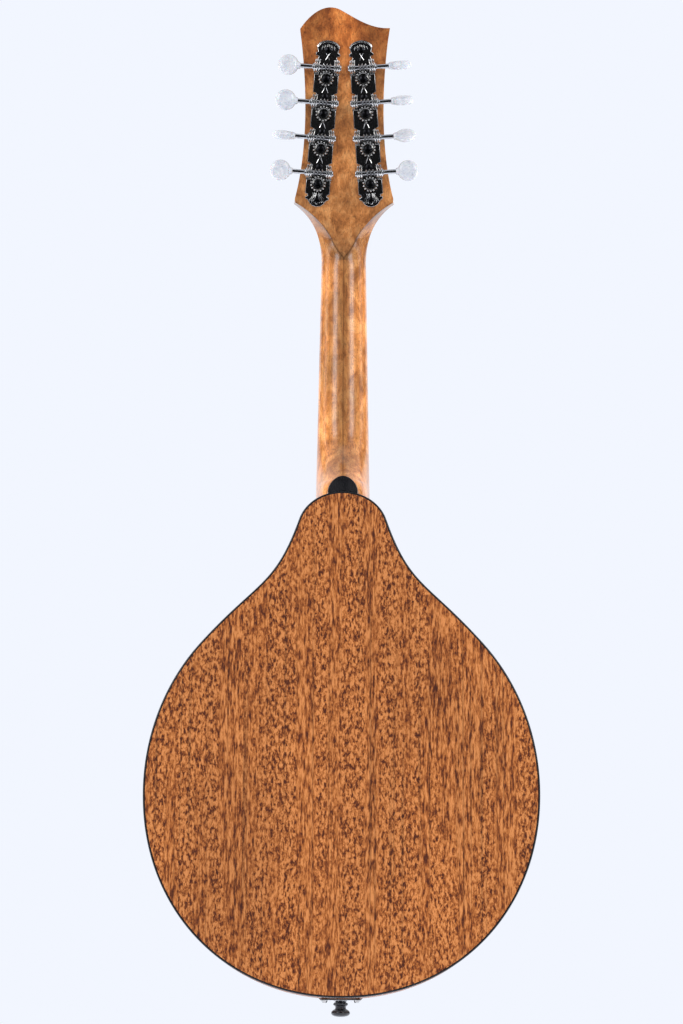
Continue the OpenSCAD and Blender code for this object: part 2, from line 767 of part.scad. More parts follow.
// One string: hook, saddle, nut and post, as a thin tube through its four corners
function course_x(k, course, pair) = let (c = floor(k / 2)) (c - 1.5) * course + (k % 2 - 0.5) * pair;
function neck_point(x, y, z) = [x, front_y + y * cos(neck_angle) + z * sin(neck_angle),
    body_l - y * sin(neck_angle) + z * cos(neck_angle)];
function head_point(x, t, s) = neck_point(x, t * cos(head_pitch) + s * sin(head_pitch),
    head_z - t * sin(head_pitch) + s * cos(head_pitch));
function post_of(k) = k < 4 ? k : 7 - k;
function string_points(k) =
    let (r = STRING_R[floor(k / 2)], side = k < 4 ? -1 : 1, i = post_of(k),
        x_nut = course_x(k, nut_course, nut_pair), x_saddle = course_x(k, saddle_course, saddle_pair),
        x_post = side * (post_x - i * post_step - post_r - r - 0.05))
    [[x_saddle * 0.75, hook_y, hook_z], [x_saddle, saddle_top - r - 0.1, bridge_z],
        neck_point(x_nut, -nut_top - r - 0.03, nut_z - 0.2),
        neck_point(x_nut, -nut_top - r - 0.03, nut_z + nut_l),
        head_point(x_post, -headplate_t - 5, first_post_s + i * post_pitch)];
function tube_ring(points, k, r) =
    let (n = len(points), a = points[max(k - 1, 0)], b = points[min(k + 1, n - 1)], w = unit(b - a),
        u = unit(cross(w, [1, 0, 0])), v = cross(w, u))
    [for (i = [0:7]) points[k] + r * (u * cos(i * 45) + v * sin(i * 45))];

module strings() {
    color("silver") for (k = [0:7]) {
        points = string_points(k);
        loft([for (j = [len(points) - 1:-1:0]) tube_ring(points, j, STRING_R[floor(k / 2)])]);
    }
}

soundboard();
back_plate();
ribs();
top_binding();
back_binding();
neck_block();
tail_block();
linings();
top_braces();
back_braces();
neck();
heel_cap();
headplate();
fingerboard();
frets();
fret_markers();
nut();
truss_rod();
truss_rod_nut();
truss_rod_cover();
truss_cover_screws();
bridge_base();
bridge_posts();
bridge_saddle();
thumbwheel_bass();
thumbwheel_treble();
tailpiece_base();
tailpiece_cover();
tailpiece_screws();
end_pin();
strings();
tuner_plate_bass();
tuner_plate_treble();
tuner_plate_screws();
tuner_bushings();
for (k = [0:7]) let (i = k % 4, side = k < 4 ? -1 : 1) {
    button(i, side, BUTTON_TURN[k]);
    worm(i, side);
    tuner_post(i, side);
}
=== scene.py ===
import json
from math import acos, atan2, copysign, cos, hypot, pi, radians, sin, sqrt, tan

import bpy
import bmesh
from mathutils import Matrix, Vector


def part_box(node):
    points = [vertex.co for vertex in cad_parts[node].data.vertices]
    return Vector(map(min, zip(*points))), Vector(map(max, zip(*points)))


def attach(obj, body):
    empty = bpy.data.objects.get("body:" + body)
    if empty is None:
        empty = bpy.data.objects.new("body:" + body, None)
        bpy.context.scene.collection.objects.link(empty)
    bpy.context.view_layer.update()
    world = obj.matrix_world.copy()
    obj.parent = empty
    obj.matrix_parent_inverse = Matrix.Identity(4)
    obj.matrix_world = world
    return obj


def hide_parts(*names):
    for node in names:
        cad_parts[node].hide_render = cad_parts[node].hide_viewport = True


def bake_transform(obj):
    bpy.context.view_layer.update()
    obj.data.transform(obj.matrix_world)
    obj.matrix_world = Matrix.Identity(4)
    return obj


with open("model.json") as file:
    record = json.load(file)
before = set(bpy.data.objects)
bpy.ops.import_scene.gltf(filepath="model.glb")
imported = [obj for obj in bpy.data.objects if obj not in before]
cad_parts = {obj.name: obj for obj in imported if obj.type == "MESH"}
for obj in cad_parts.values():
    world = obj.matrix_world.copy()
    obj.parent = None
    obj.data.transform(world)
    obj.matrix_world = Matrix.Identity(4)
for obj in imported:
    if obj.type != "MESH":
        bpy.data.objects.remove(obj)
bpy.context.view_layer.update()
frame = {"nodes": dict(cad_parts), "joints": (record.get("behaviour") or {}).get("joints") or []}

# ----- sizes, in millimetres

MM = 0.001
BEVEL_ANGLE = 35
JOINTS = {joint["name"]: joint for joint in frame["joints"]}

# Body, from the frame
RIBS_LOW, RIBS_HIGH = (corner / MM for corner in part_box("ribs"))
BODY_L = RIBS_HIGH.z
HALF_W = RIBS_HIGH.x
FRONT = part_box("soundboard")[0].y / MM
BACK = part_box("back_plate")[1].y / MM
PLATE_T = RIBS_LOW.y - FRONT
RIB_T = 2.2
BINDING_W = 1.4
BINDING_ROUND = 0.7
WAIST_Z = 130
BOUT_L = 138
BOUT_A = 44
BOUT_PULL = 55
BOUT_POWER = 2.09
CROWN_RX = 29.7
CROWN_RZ = 26
CROWN_A = 17
CROWN_PULL = 48
CROWN_Z = BODY_L - CROWN_RZ
HOLE_Z = 205
HOLE_RX = 29
HOLE_RZ = 19
HOLE_ROUND = 0.8

# Neck
NUT_Z = 167
NUT_L = 4.5
HEAD_Z = NUT_Z + NUT_L
NUT_W = 30.2
OCTAVE_W = 36.4
SCALE_L = 352
BOARD_T = 5
NECK_T = 14
NECK_TAPER = 0.02
FRET_COUNT = 20
FRET_W = 1.9
FRET_H = 1.05
NUT_TOP = BOARD_T + 1.6
HEEL_CAP_W = 19.6
HEEL_CAP_H = 10.4
HEEL_CAP_POWER = 1.8
HEEL_CAP_T = 2
HEEL_L = 46
HEEL_RISE = 22.5
HEEL_POWER = 2.6
HEAD_T = 13.5
HEAD_L = 166
HEADPLATE_T = 1.5
CORNER_W = 34
SHOULDER_S = 35
POINT_S = HEAD_L - 15.5
# The V where the headstock's flat back meets the neck: its tip is V_DEPTH below the joint
V_DEPTH = 2
V_ROUND_S = 10
V_FLARE_HALF = 8.5
V_EDGE_SLOPE = 0.316

# Tuners
POST_R = 3
POST_ABOVE = 13
STRIP_T = 1.2
SHAFT_H = 4.2
WORM_OFFSET = 7.4
GEAR_TEETH = 14
GEAR_T = 3
GEAR_PITCH_R = 5.15
GEAR_ROOT_R = 4.2
GEAR_TIP_R = 5.45
GEAR_FACE_R = 3.7
WORM_CORE_R = 1.4
WORM_THREAD = 1.45
WORM_TURNS = 3
LUG_IN = 6.4
LUG_T = 1.8
BUTTON_REACH = 26
BUTTON_R = 7
BUTTON_T = 6
PLATE_HALF = 8.3
PLATE_LOW = 15
PLATE_HIGH = 26
SCREW_BELOW = 11.7
TUNERS = [f"{side}_{i}" for side in ("bass", "treble") for i in (1, 2, 3, 4)]
# How far each button is turned about its shaft in the photograph, in degrees
BUTTON_TURN = dict(zip(TUNERS, [0, 62, 76, 84, 0, 88, 0, 10]))

# Strings, bass to treble
STRING_R = [0.5, 0.33, 0.19, 0.14]
HOOK_Z = 44
NUT_COURSE, NUT_PAIR = 7.73, 2
SADDLE_COURSE, SADDLE_PAIR = 13, 2.8
COIL_STEPS = 14
COIL_POINTS = 50
COIL_DIVE = 6


def joint_point(name):
    return Vector(JOINTS[name]["pos_m"]) / MM


def joint_axis(name):
    return Vector(JOINTS[name]["axis"]).normalized()


POST_STEP = (joint_point("post_turn_treble_2") - joint_point("post_turn_treble_1")).length
IDENTITY = Matrix.Identity(4)


def frame_matrix(x, y, z, origin):
    """A matrix from a local frame in millimetres to the row frame in metres."""
    turn = Matrix((x, y, z)).transposed().to_4x4()
    return Matrix.Scale(MM, 4) @ Matrix.Translation(origin) @ turn


X = Vector((1, 0, 0))
BODY = Matrix.Scale(MM, 4)
NECK_UP = joint_axis("rod_nut_turn")
NECK = frame_matrix(X, NECK_UP.cross(X), NECK_UP, Vector((0, FRONT, BODY_L)))
HEAD_BACK = joint_axis("post_turn_treble_1")
HEAD_UP = X.cross(HEAD_BACK)
HEAD_ORIGIN = (NECK @ Vector((0, 0, HEAD_Z))) / MM
HEAD = frame_matrix(X, HEAD_BACK, HEAD_UP, HEAD_ORIGIN)


def side_of(tuner):
    return -1 if tuner.startswith("bass") else 1


def tuner_matrix(tuner):
    """Gear centre on the headstock's back, x out to the button, y out of the back, z up the strip.
    The bass side is the mirror image of the treble side."""
    out = joint_axis("knob_turn_" + tuner)
    back = joint_axis("post_turn_" + tuner)
    up = out.cross(back) * side_of(tuner)
    return frame_matrix(out, back, up, joint_point("post_turn_" + tuner))


# ----- outlines


def arc(rx, rz, cz, a0, a1, n):
    steps = [radians(a0 + (a1 - a0) * i / n) for i in range(n + 1)]
    return [Vector((rx * cos(a), cz + rz * sin(a))) for a in steps]


def sweep(angle, n):
    """n + 1 angles from zero to a last one."""
    return [angle * i / n for i in range(n + 1)]


def around(n, start=0.0):
    """The angles that share a full turn between n points."""
    return [start + 2 * pi * i / n for i in range(n)]


def superellipse(rx, rz, cz, a, power):
    c, s = cos(radians(a)), sin(radians(a))
    x = copysign(abs(c) ** (2 / power), c) if abs(c) > 1e-9 else 0
    return Vector((rx * x, cz + rz * copysign(abs(s) ** (2 / power), s)))


def bezier(p0, p1, p2, p3, n):
    points = []
    for i in range(n + 1):
        t = i / n
        u = 1 - t
        points.append(u ** 3 * p0 + 3 * u * u * t * p1 + 3 * u * t * t * p2 + t ** 3 * p3)
    return points


def mirrored(half):
    """A closed outline from its +X half, which starts and ends on the centre line."""
    return half + [Vector((-p.x, p.y)) for p in reversed(half[1:-1])]


def body_outline():
    a = radians(BOUT_A)
    c = radians(CROWN_A)
    bout_end = Vector((HALF_W * cos(a), WAIST_Z + BOUT_L * sin(a)))
    bout_way = Vector((-HALF_W * sin(a), BOUT_L * cos(a))).normalized()
    crown_start = Vector((CROWN_RX * cos(c), CROWN_Z + CROWN_RZ * sin(c)))
    crown_way = Vector((-CROWN_RX * sin(c), CROWN_RZ * cos(c))).normalized()
    half = [superellipse(HALF_W, WAIST_Z, WAIST_Z, 1.5 * i - 90, BOUT_POWER) for i in range(60)]
    half += arc(HALF_W, BOUT_L, WAIST_Z, 0, BOUT_A, 30)
    half += bezier(bout_end, bout_end + BOUT_PULL * bout_way, crown_start - CROWN_PULL * crown_way, crown_start,
                   40)[1:]
    half += arc(CROWN_RX, CROWN_RZ, CROWN_Z, CROWN_A, 90, 30)[1:]
    return mirrored(half)


OUTLINE = body_outline()


def inset(outline, distance):
    """The closed outline moved inwards along its own normals."""
    n = len(outline)
    moved = []
    for i, p in enumerate(outline):
        way = (outline[(i + 1) % n] - outline[i - 1]).normalized()
        moved.append(p + Vector((-way.y, way.x)) * distance)
    return moved


def neck_half(z):
    return (NUT_W + (OCTAVE_W - NUT_W) * (NUT_Z - z) / (SCALE_L / 2)) / 2


def head_outline():
    """The headstock above its lower corners, from the +X corner round the wave to the -X corner."""
    v = Vector
    side = bezier(v((CORNER_W, SHOULDER_S)), v((28, 55)), v((22.5, 95)), v((30, POINT_S)), 24)
    hump = bezier(v((30, POINT_S + 1)), v((23, HEAD_L - 4)), v((13, HEAD_L + 3)), v((3.4, HEAD_L - 1.5)), 18)
    hollow = bezier(v((3.4, HEAD_L - 1.5)), v((-7, HEAD_L - 7)), v((-17, POINT_S + 0.9)),
                    v((-30.4, POINT_S + 1.7)), 18)
    return side + hump + hollow[1:] + [v((-p.x, p.y)) for p in reversed(side[:-1])]


def shoulder_curve():
    v = Vector
    start = v((neck_half(NUT_Z) + 0.2, 0))
    return bezier(start, v((16, 13)), v((21, 26)), v((CORNER_W, SHOULDER_S)), 26)


def crease_half(s):
    """Half width, at height s over the neck joint, of the headstock's flat back between its two creases."""
    if s < V_ROUND_S:
        return V_FLARE_HALF * (max(s + V_DEPTH, 0) / (V_ROUND_S + V_DEPTH)) ** 0.85
    edge = min(shoulder_curve(), key=lambda p: abs(p.y - s))
    return edge.x - 1 - V_EDGE_SLOPE * (SHOULDER_S - edge.y)


# ----- mesh building


class Shape:
    """Closed solids gathered into one mesh, each placed by a matrix."""

    def __init__(self):
        self.verts = []
        self.faces = []

    def add(self, verts, faces, at=IDENTITY):
        start = len(self.verts)
        self.verts += [at @ Vector(v) for v in verts]
        self.faces += [[start + i for i in face] for face in faces]
        return self

    def loft(self, rings, at=IDENTITY, caps=True):
        """Skins a list of equal rings, and closes both ends unless the rings form a loop."""
        n, m = len(rings[0]), len(rings)
        faces = []
        for j in range(m - 1 if caps else m):
            k = (j + 1) % m
            faces += [[j * n + i, j * n + (i + 1) % n, k * n + (i + 1) % n, k * n + i] for i in range(n)]
        if caps:
            faces.append(list(range(n))[::-1])
            faces.append([(m - 1) * n + i for i in range(n)])
        return self.add([p for ring in rings for p in ring], faces, at)

    def prism(self, outline, y0, y1, at=IDENTITY):
        """An outline in x and z between two y planes."""
        return self.loft([[(p[0], y, p[1]) for p in outline] for y in (y0, y1)], at)

    def lathe(self, profile, at=IDENTITY, segments=32, bored=False):
        """A profile of (radius, height) pairs turned about the local y axis.
        Both ends are on the axis, unless the piece is bored and the profile runs right round its section."""
        rings = []
        for r, h in profile:
            radius = max(r, 0.001)
            rings.append([(radius * sin(a), h, radius * cos(a)) for a in around(segments)])
        return self.loft(rings, at, caps=not bored)

    def box(self, low, high, at=IDENTITY):
        outline = [(low[0], low[2]), (high[0], low[2]), (high[0], high[2]), (low[0], high[2])]
        return self.prism(outline, low[1], high[1], at)

    def tube(self, points, radius, sides=10, at=IDENTITY, closed=False):
        """A round rod along points, with one radius or one for each point. A closed one joins up with itself."""
        points = [Vector(p) for p in points]
        n = len(points)
        radii = radius if isinstance(radius, list) else [radius] * n
        rings = []
        side = None
        for i, p in enumerate(points):
            after = points[(i + 1) % n] if closed else points[min(i + 1, n - 1)]
            before = points[i - 1] if closed else points[max(i - 1, 0)]
            way = (after - before).normalized()
            if side is None:
                side = way.orthogonal().normalized()
            side = (side - way * side.dot(way)).normalized()
            other = way.cross(side)
            rings.append([p + radii[i] * (side * cos(a) + other * sin(a)) for a in around(sides)])
        return self.loft(rings, at, caps=not closed)

    def hoop(self, radius, thick, height, at=IDENTITY, steps=28):
        """A round wire bent to a circle about the local y axis."""
        points = [(radius * cos(a), height, radius * sin(a)) for a in around(steps)]
        return self.tube(points, thick, 6, at, closed=True)


def turned(to, at=(0, 0, 0)):
    """Turns the local y axis to a direction."""
    return Matrix.Translation(at) @ Vector((0, 1, 0)).rotation_difference(Vector(to)).to_matrix().to_4x4()


def add_bevel(obj, width, segments=2):
    bevel = obj.modifiers.new("edge", "BEVEL")
    bevel.width = width * MM
    bevel.segments = segments
    bevel.limit_method = "ANGLE"
    bevel.angle_limit = radians(BEVEL_ANGLE)


def put(obj):
    bpy.context.scene.collection.objects.link(obj)
    return obj


def make(name, shape, place, material, body="instrument", replaces=(), bevel=0, smooth=35, segments=2):
    """A finished piece: a clean mesh in metres that rides its body, or with two bodies stays unattached where it
    is built, and stands for its CAD nodes."""
    mesh = bpy.data.meshes.new(name)
    mesh.from_pydata([place @ v for v in shape.verts], [], shape.faces)
    bm = bmesh.new()
    bm.from_mesh(mesh)
    bmesh.ops.remove_doubles(bm, verts=bm.verts, dist=2e-6)
    bmesh.ops.dissolve_degenerate(bm, dist=1e-6, edges=bm.edges)
    bmesh.ops.recalc_face_normals(bm, faces=bm.faces)
    bm.to_mesh(mesh)
    bm.free()
    mesh.polygons.foreach_set("use_smooth", [True] * len(mesh.polygons))
    mesh.set_sharp_from_angle(angle=radians(smooth))
    obj = put(bpy.data.objects.new(name, mesh))
    mesh.materials.append(material)
    if bevel:
        add_bevel(obj, bevel, segments)
    if isinstance(body, tuple):
        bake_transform(obj)
    else:
        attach(obj, body)
    if replaces:
        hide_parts(*replaces)


def dress(node, material, bevel=0):
    """A CAD node that stays, with a material and softened edges."""
    obj = frame["nodes"][node]
    obj.data.materials.clear()
    obj.data.materials.append(material)
    if bevel:
        weld = obj.modifiers.new("weld", "WELD")
        weld.merge_threshold = 0.01 * MM
        add_bevel(obj, bevel)


# ----- materials


class Nodes:
    """Short names for building a shader. All lengths are in millimetres of the row frame."""

    def __init__(self, name):
        self.material = bpy.data.materials.new(name)
        self.material.use_nodes = True
        self.tree = self.material.node_tree
        self.shader = self.tree.nodes["Principled BSDF"]
        self.mm = self.mapping(self.node("TexCoord").outputs["Object"], (1 / MM, 1 / MM, 1 / MM))

    def link(self, value, socket):
        if isinstance(value, bpy.types.NodeSocket):
            self.tree.links.new(value, socket)
        else:
            socket.default_value = value

    def node(self, kind, **inputs):
        node = self.tree.nodes.new("ShaderNode" + kind)
        for name, value in inputs.items():
            self.link(value, node.inputs[name])
        return node

    def mapping(self, vector, scale, location=(0, 0, 0)):
        return self.node("Mapping", Vector=vector, Scale=scale, Location=location).outputs["Vector"]

    def noise(self, size, detail=4, roughness=0.55, location=(0, 0, 0), warp=0):
        """Noise whose features are about size = (x, y, z) millimetres."""
        place = self.mapping(self.mm, [1 / s for s in size], location)
        noise = self.node("TexNoise", Vector=place, Scale=1, Detail=detail, Roughness=roughness, Distortion=warp)
        return noise.outputs["Fac"]

    def ramp(self, value, *stops):
        """Colours or grey levels at positions along a value."""
        node = self.node("ValToRGB", Fac=value)
        elements = node.color_ramp.elements
        while len(elements) < len(stops):
            elements.new(0.5)
        for element, (position, colour) in zip(elements, stops):
            grey = (colour,) * 3 if isinstance(colour, (int, float)) else colour
            element.position = position
            element.color = (*grey, 1)
        return node.outputs["Color"]

    def mix(self, factor, a, b, blend="MIX"):
        node = self.node("Mix")
        node.data_type = "RGBA"
        node.blend_type = blend
        for value, name in ((factor, "Factor"), (a, "A"), (b, "B")):
            self.link(self.opaque(value), node.inputs[name])
        return node.outputs["Result"]

    def times(self, a, b):
        return self.mix(1.0, a, b, "MULTIPLY")

    def opaque(self, colour):
        return (*colour, 1) if isinstance(colour, tuple) and len(colour) == 3 else colour

    def math(self, operation, a, b=0.0, c=0.0):
        node = self.node("Math")
        node.operation = operation
        for value, socket in zip((a, b, c), node.inputs):
            self.link(value, socket)
        return node.outputs["Value"]

    def axis(self, name):
        return self.node("SeparateXYZ", Vector=self.mm).outputs[name]

    def bump(self, height, strength, distance):
        node = self.node("Bump", Strength=strength, Distance=distance * MM, Height=height)
        self.link(node.outputs["Normal"], self.shader.inputs["Normal"])

    def finish(self, colour=None, roughness=None, **constants):
        """Sets the shader and returns the material. Names in constants are sockets with _ for a space."""
        if colour is not None:
            self.link(self.opaque(colour), self.shader.inputs["Base Color"])
        if roughness is not None:
            self.link(roughness, self.shader.inputs["Roughness"])
        for name, value in constants.items():
            self.shader.inputs[name.replace("_", " ")].default_value = value
        return self.material


def ribbon_wood(name, tone=1.0, bent=False):
    """Ribbon-striped mahogany: short dark pore flecks, longer and closer in every other faint ribbon.
    The grain goes up the back, and round a bent side."""
    m = Nodes(name)

    def flecks(across, along, *rest):
        size = (1.9 * along, 0.8 * across, 1.9 * along) if bent else (across, across, along)
        return m.noise(size, *rest)

    short = flecks(1.35, 2.9, 3, 0.62, (0, 0, 0), 0.4)
    long = flecks(1.2, 7.5, 3, 0.62, (3, 7, 1), 0.15)
    band = m.ramp(flecks(12, 260, 2, 0.4, (5, 0, 2)), (0.42, 0.05), (0.58, 0.8))
    pores = m.mix(band, short, long)
    base = m.ramp(pores, (0.38, (0.070 * tone, 0.010 * tone, 0.0)), (0.45, (0.220 * tone, 0.048 * tone, 0.003)),
                  (0.51, (0.405 * tone, 0.118 * tone, 0.018)), (0.59, (0.620 * tone, 0.222 * tone, 0.058)))
    cloud = m.ramp(m.noise((60, 60, 120), 3, 0.5, (9, 4, 0)), (0.3, 0.90), (0.7, 1.10))
    lines = m.ramp(flecks(1.6, 300, 2, 0.5, (1, 1, 1)), (0.34, 0.72), (0.42, 1.0))
    colour = m.times(m.times(base, cloud), lines)
    m.bump(pores, 0.12, 0.2)
    rough = m.ramp(pores, (0.3, 0.60), (0.6, 0.42))
    return m.finish(colour, rough, Coat_Weight=0.12, Coat_Roughness=0.18, Specular_IOR_Level=0.3)


def maple(name):
    """Stained maple under gloss: mottled amber, faint upright grain, darker clouds, painted light between the
    tuner strips, painted shade in the creases where the back of the headstock meets the neck, on the walls beside
    them and at the V's tip, and painted shade down the middle of the neck's back with painted light on its
    flanks."""
    m = Nodes(name)
    mottle = m.noise((7, 7, 11), 5, 0.66, (2, 3, 4), 0.6)
    base = m.ramp(mottle, (0.30, (0.235, 0.070, 0.010)), (0.46, (0.430, 0.152, 0.033)),
                  (0.58, (0.560, 0.232, 0.066)), (0.74, (0.690, 0.335, 0.120)))
    grain = m.ramp(m.noise((0.8, 0.8, 18), 3, 0.6), (0.34, 0.74), (0.60, 1.06))
    pits = m.ramp(m.noise((0.9, 0.9, 1.4), 2, 0.5, (7, 7, 7)), (0.34, 0.55), (0.44, 1.0))
    cloud = m.ramp(m.noise((22, 22, 30), 3, 0.55, (8, 1, 5)), (0.33, 0.62), (0.58, 1.10))
    colour = m.times(m.times(base, grain), cloud)
    colour = m.mix(0.8, colour, m.times(colour, pits))
    foot = HEAD_UP.dot(HEAD_ORIGIN)
    up = m.math("ADD", m.math("MULTIPLY", m.axis("Y"), HEAD_UP.y), m.math("MULTIPLY", m.axis("Z"), HEAD_UP.z))
    up = m.math("DIVIDE", m.math("SUBTRACT", up, foot - V_DEPTH), SHOULDER_S + V_DEPTH)
    edges = [(i / 8, crease_half(i / 8 * (SHOULDER_S + V_DEPTH) - V_DEPTH) / CORNER_W) for i in range(9)]
    edge = m.math("MULTIPLY", m.ramp(up, *edges), CORNER_W)
    across = m.math("ABSOLUTE", m.axis("X"))
    off = m.math("SUBTRACT", across, edge)
    # Painted shade: darker along each crease, on the walls outside the creases near them, and a dark brown patch
    # on the flat at the V's tip.
    line = m.ramp(m.math("ABSOLUTE", m.math("DIVIDE", off, 2.0)), (0.0, 0.40), (0.30, 0.80), (0.75, 1.0))
    painted_scoop_shade = m.ramp(m.math("DIVIDE", off, 12.0), (0.0, 0.58), (0.8, 0.92))
    within = m.math("COMPARE", up, 0.48, 0.52)
    outside = m.math("MULTIPLY", m.math("GREATER_THAN", off, 0.0), within)
    painted_tip_shade = m.math("MULTIPLY", m.math("LESS_THAN", off, 0.5), m.ramp(up, (0.0, 1.0), (0.5, 0.0)))
    colour = m.mix(within, colour, m.times(colour, line))
    colour = m.mix(outside, colour, m.times(colour, painted_scoop_shade))
    colour = m.mix(m.math("MULTIPLY", painted_tip_shade, 0.42), colour, (0.10, 0.028, 0.006))
    # Painted shade down the middle of the neck's back and painted light on its flanks, below the headstock.
    painted_spine_shade = m.ramp(m.math("DIVIDE", across, 12.0), (0.08, (0.60, 0.58, 0.52)), (0.46, (0.76, 0.75, 0.72)),
                   (0.9, (1.0, 0.97, 0.92)))
    painted_flank_light = m.times(m.times(colour, painted_spine_shade), (1.38, 1.38, 1.38))
    lower = m.ramp(m.math("MULTIPLY_ADD", up, 0.5, 0.5), (0.28, 1.0), (0.62, 0.0))
    colour = m.mix(lower, colour, painted_flank_light)
    crown_stain = m.ramp(m.math("DIVIDE", up, 4.0), (0.70, (1.0, 1.0, 1.0)), (0.98, (0.86, 0.66, 0.46)))
    colour = m.times(colour, crown_stain)
    # Painted light: a paler middle on the headstock's back, between the tuner strips.
    middle = m.ramp(m.math("DIVIDE", across, 16.0), (0.40, (1.30, 1.26, 1.20)), (0.75, (1.0, 1.0, 1.0)))
    upper = m.ramp(m.math("DIVIDE", up, 4.0), (0.24, 0.0), (0.36, 1.0))
    colour = m.mix(upper, colour, m.times(colour, middle))
    m.bump(m.noise((3, 3, 9), 3, 0.5), 0.06, 0.3)
    return m.finish(colour, m.ramp(mottle, (0.3, 0.34), (0.7, 0.26)), Coat_Weight=0.55, Coat_Roughness=0.13)


def spruce():
    """Straight, close-grained spruce under amber varnish, with rings inlaid round the sound hole."""
    m = Nodes("spruce")
    grain = m.ramp(m.noise((1.1, 40, 600), 2, 0.5), (0.35, (0.42, 0.20, 0.065)), (0.50, (0.72, 0.44, 0.17)),
                   (0.66, (0.80, 0.53, 0.24)))
    silk = m.ramp(m.noise((7, 7, 1.6), 3, 0.6), (0.3, 0.93), (0.7, 1.05))
    wood = m.times(grain, silk)
    x = m.math("DIVIDE", m.axis("X"), HOLE_RX)
    z = m.math("DIVIDE", m.math("SUBTRACT", m.axis("Z"), HOLE_Z), HOLE_RZ)
    reach = m.math("SQRT", m.math("ADD", m.math("MULTIPLY", x, x), m.math("MULTIPLY", z, z)))
    ring = m.math("COMPARE", reach, 1.24, 0.055)
    inner = m.math("COMPARE", reach, 1.24, 0.030)
    cells = m.node("TexVoronoi", Vector=m.mapping(m.mm, (1 / 2.2,) * 3), Scale=1)
    tiles = m.ramp(cells.outputs["Distance"], (0.25, (0.62, 0.60, 0.54)), (0.6, (0.80, 0.79, 0.74)))
    colour = m.mix(inner, m.mix(ring, wood, (0.012, 0.010, 0.009)), tiles)
    m.bump(grain, 0.05, 0.15)
    return m.finish(colour, 0.30, Coat_Weight=0.5, Coat_Roughness=0.10)


def grained(name, noise, colours, bump, rough, **constants):
    """One noise gives the colour, the relief and, from two stops, the gloss."""
    m = Nodes(name)
    grain = m.noise(*noise)
    m.bump(grain, *bump)
    rough = m.ramp(grain, *rough) if isinstance(rough, tuple) else rough
    return m.finish(m.ramp(grain, *colours), rough, **constants)


def black_gloss(name, scuff=1.0):
    """Black celluloid or lacquer with faint cloudiness and fine scratches."""
    m = Nodes(name)
    cloud = m.ramp(m.noise((6, 6, 6), 3, 0.5), (0.3, (0.008, 0.008, 0.009)), (0.7, (0.017, 0.016, 0.017)))
    scratches = m.noise((0.25, 0.25, 12), 2, 0.5)
    m.bump(scratches, 0.04 * scuff, 0.05)
    return m.finish(cloud, m.ramp(scratches, (0.35, 0.16), (0.7, 0.30)), Coat_Weight=0.3, Coat_Roughness=0.08)


def pearloid():
    """Mother-of-pearl celluloid: milky, with cool and warm clouds and a few grey specks."""
    m = Nodes("pearloid")
    flakes = m.noise((2.6, 2.6, 2.6), 2, 0.4, (4, 9, 2), 2.2)
    swirl = m.noise((5.5, 5.5, 5.5), 4, 0.6, (1, 2, 3), 1.4)
    tone = m.mix(0.55, flakes, swirl)
    colour = m.ramp(tone, (0.30, (0.40, 0.41, 0.43)), (0.44, (0.53, 0.54, 0.57)), (0.56, (0.62, 0.615, 0.61)),
                    (0.74, (0.72, 0.72, 0.72)))
    specks = m.ramp(m.noise((1.1, 1.1, 1.1), 2, 0.5, (6, 6, 1)), (0.28, 0.55), (0.34, 1.0))
    m.bump(swirl, 0.03, 0.1)
    return m.finish(m.times(colour, specks), m.ramp(swirl, (0.3, 0.18), (0.7, 0.30)),
                    Coat_Weight=0.4, Coat_Roughness=0.06, Subsurface_Weight=0.12, Subsurface_Scale=0.002)


def metal(name, light, dark, rough=(0.10, 0.24), wear=0.5):
    """Plated or plain metal with cloudy handling marks and fine brushed scratches."""
    m = Nodes(name)
    cloud = m.noise((3.5, 3.5, 3.5), 4, 0.6)
    scratches = m.noise((0.15, 0.15, 2.5), 2, 0.5)
    colour = m.mix(m.ramp(cloud, (0.35, 0.0), (0.70, wear)), light, dark)
    m.bump(scratches, 0.03, 0.03)
    roughness = m.ramp(m.mix(0.5, cloud, scratches), (0.35, rough[0]), (0.65, rough[1]))
    return m.finish(colour, roughness, Metallic=1.0)


def wound_string():
    """Bronze wrap wire: tight turns along the string."""
    m = Nodes("wound_string")
    wave = m.node("TexWave", Vector=m.mm, Scale=1.0)
    wave.bands_direction = "Z"
    turns = wave.outputs["Fac"]
    m.bump(turns, 0.6, 0.1)
    colour = m.ramp(turns, (0.2, (0.25, 0.13, 0.06)), (0.8, (0.62, 0.40, 0.21)))
    return m.finish(colour, 0.32, Metallic=1.0)


WOOD_BACK = ribbon_wood("ribbon_mahogany")
WOOD_RIBS = ribbon_wood("rib_mahogany", 0.9, bent=True)
MAPLE = maple("stained_maple")
SPRUCE = spruce()
EBONY = grained("ebony", ((0.5, 0.5, 9), 3, 0.6), (
    (0.3, (0.008, 0.006, 0.005)), (0.6, (0.028, 0.020, 0.016)), (0.75, (0.060, 0.040, 0.028))),
    (0.10, 0.2), ((0.3, 0.50), (0.7, 0.34)))
INNER = grained("inner_wood", ((1.5, 1.5, 30), 4, 0.6), (
    (0.3, (0.46, 0.27, 0.12)), (0.55, (0.62, 0.42, 0.22)), (0.75, (0.70, 0.52, 0.31))), (0.2, 0.2), 0.7)
BLACK = black_gloss("black_binding")
LACQUER = black_gloss("black_lacquer", 0.6)
PEARL = pearloid()
NICKEL = metal("nickel", (0.60, 0.59, 0.57), (0.30, 0.29, 0.28))
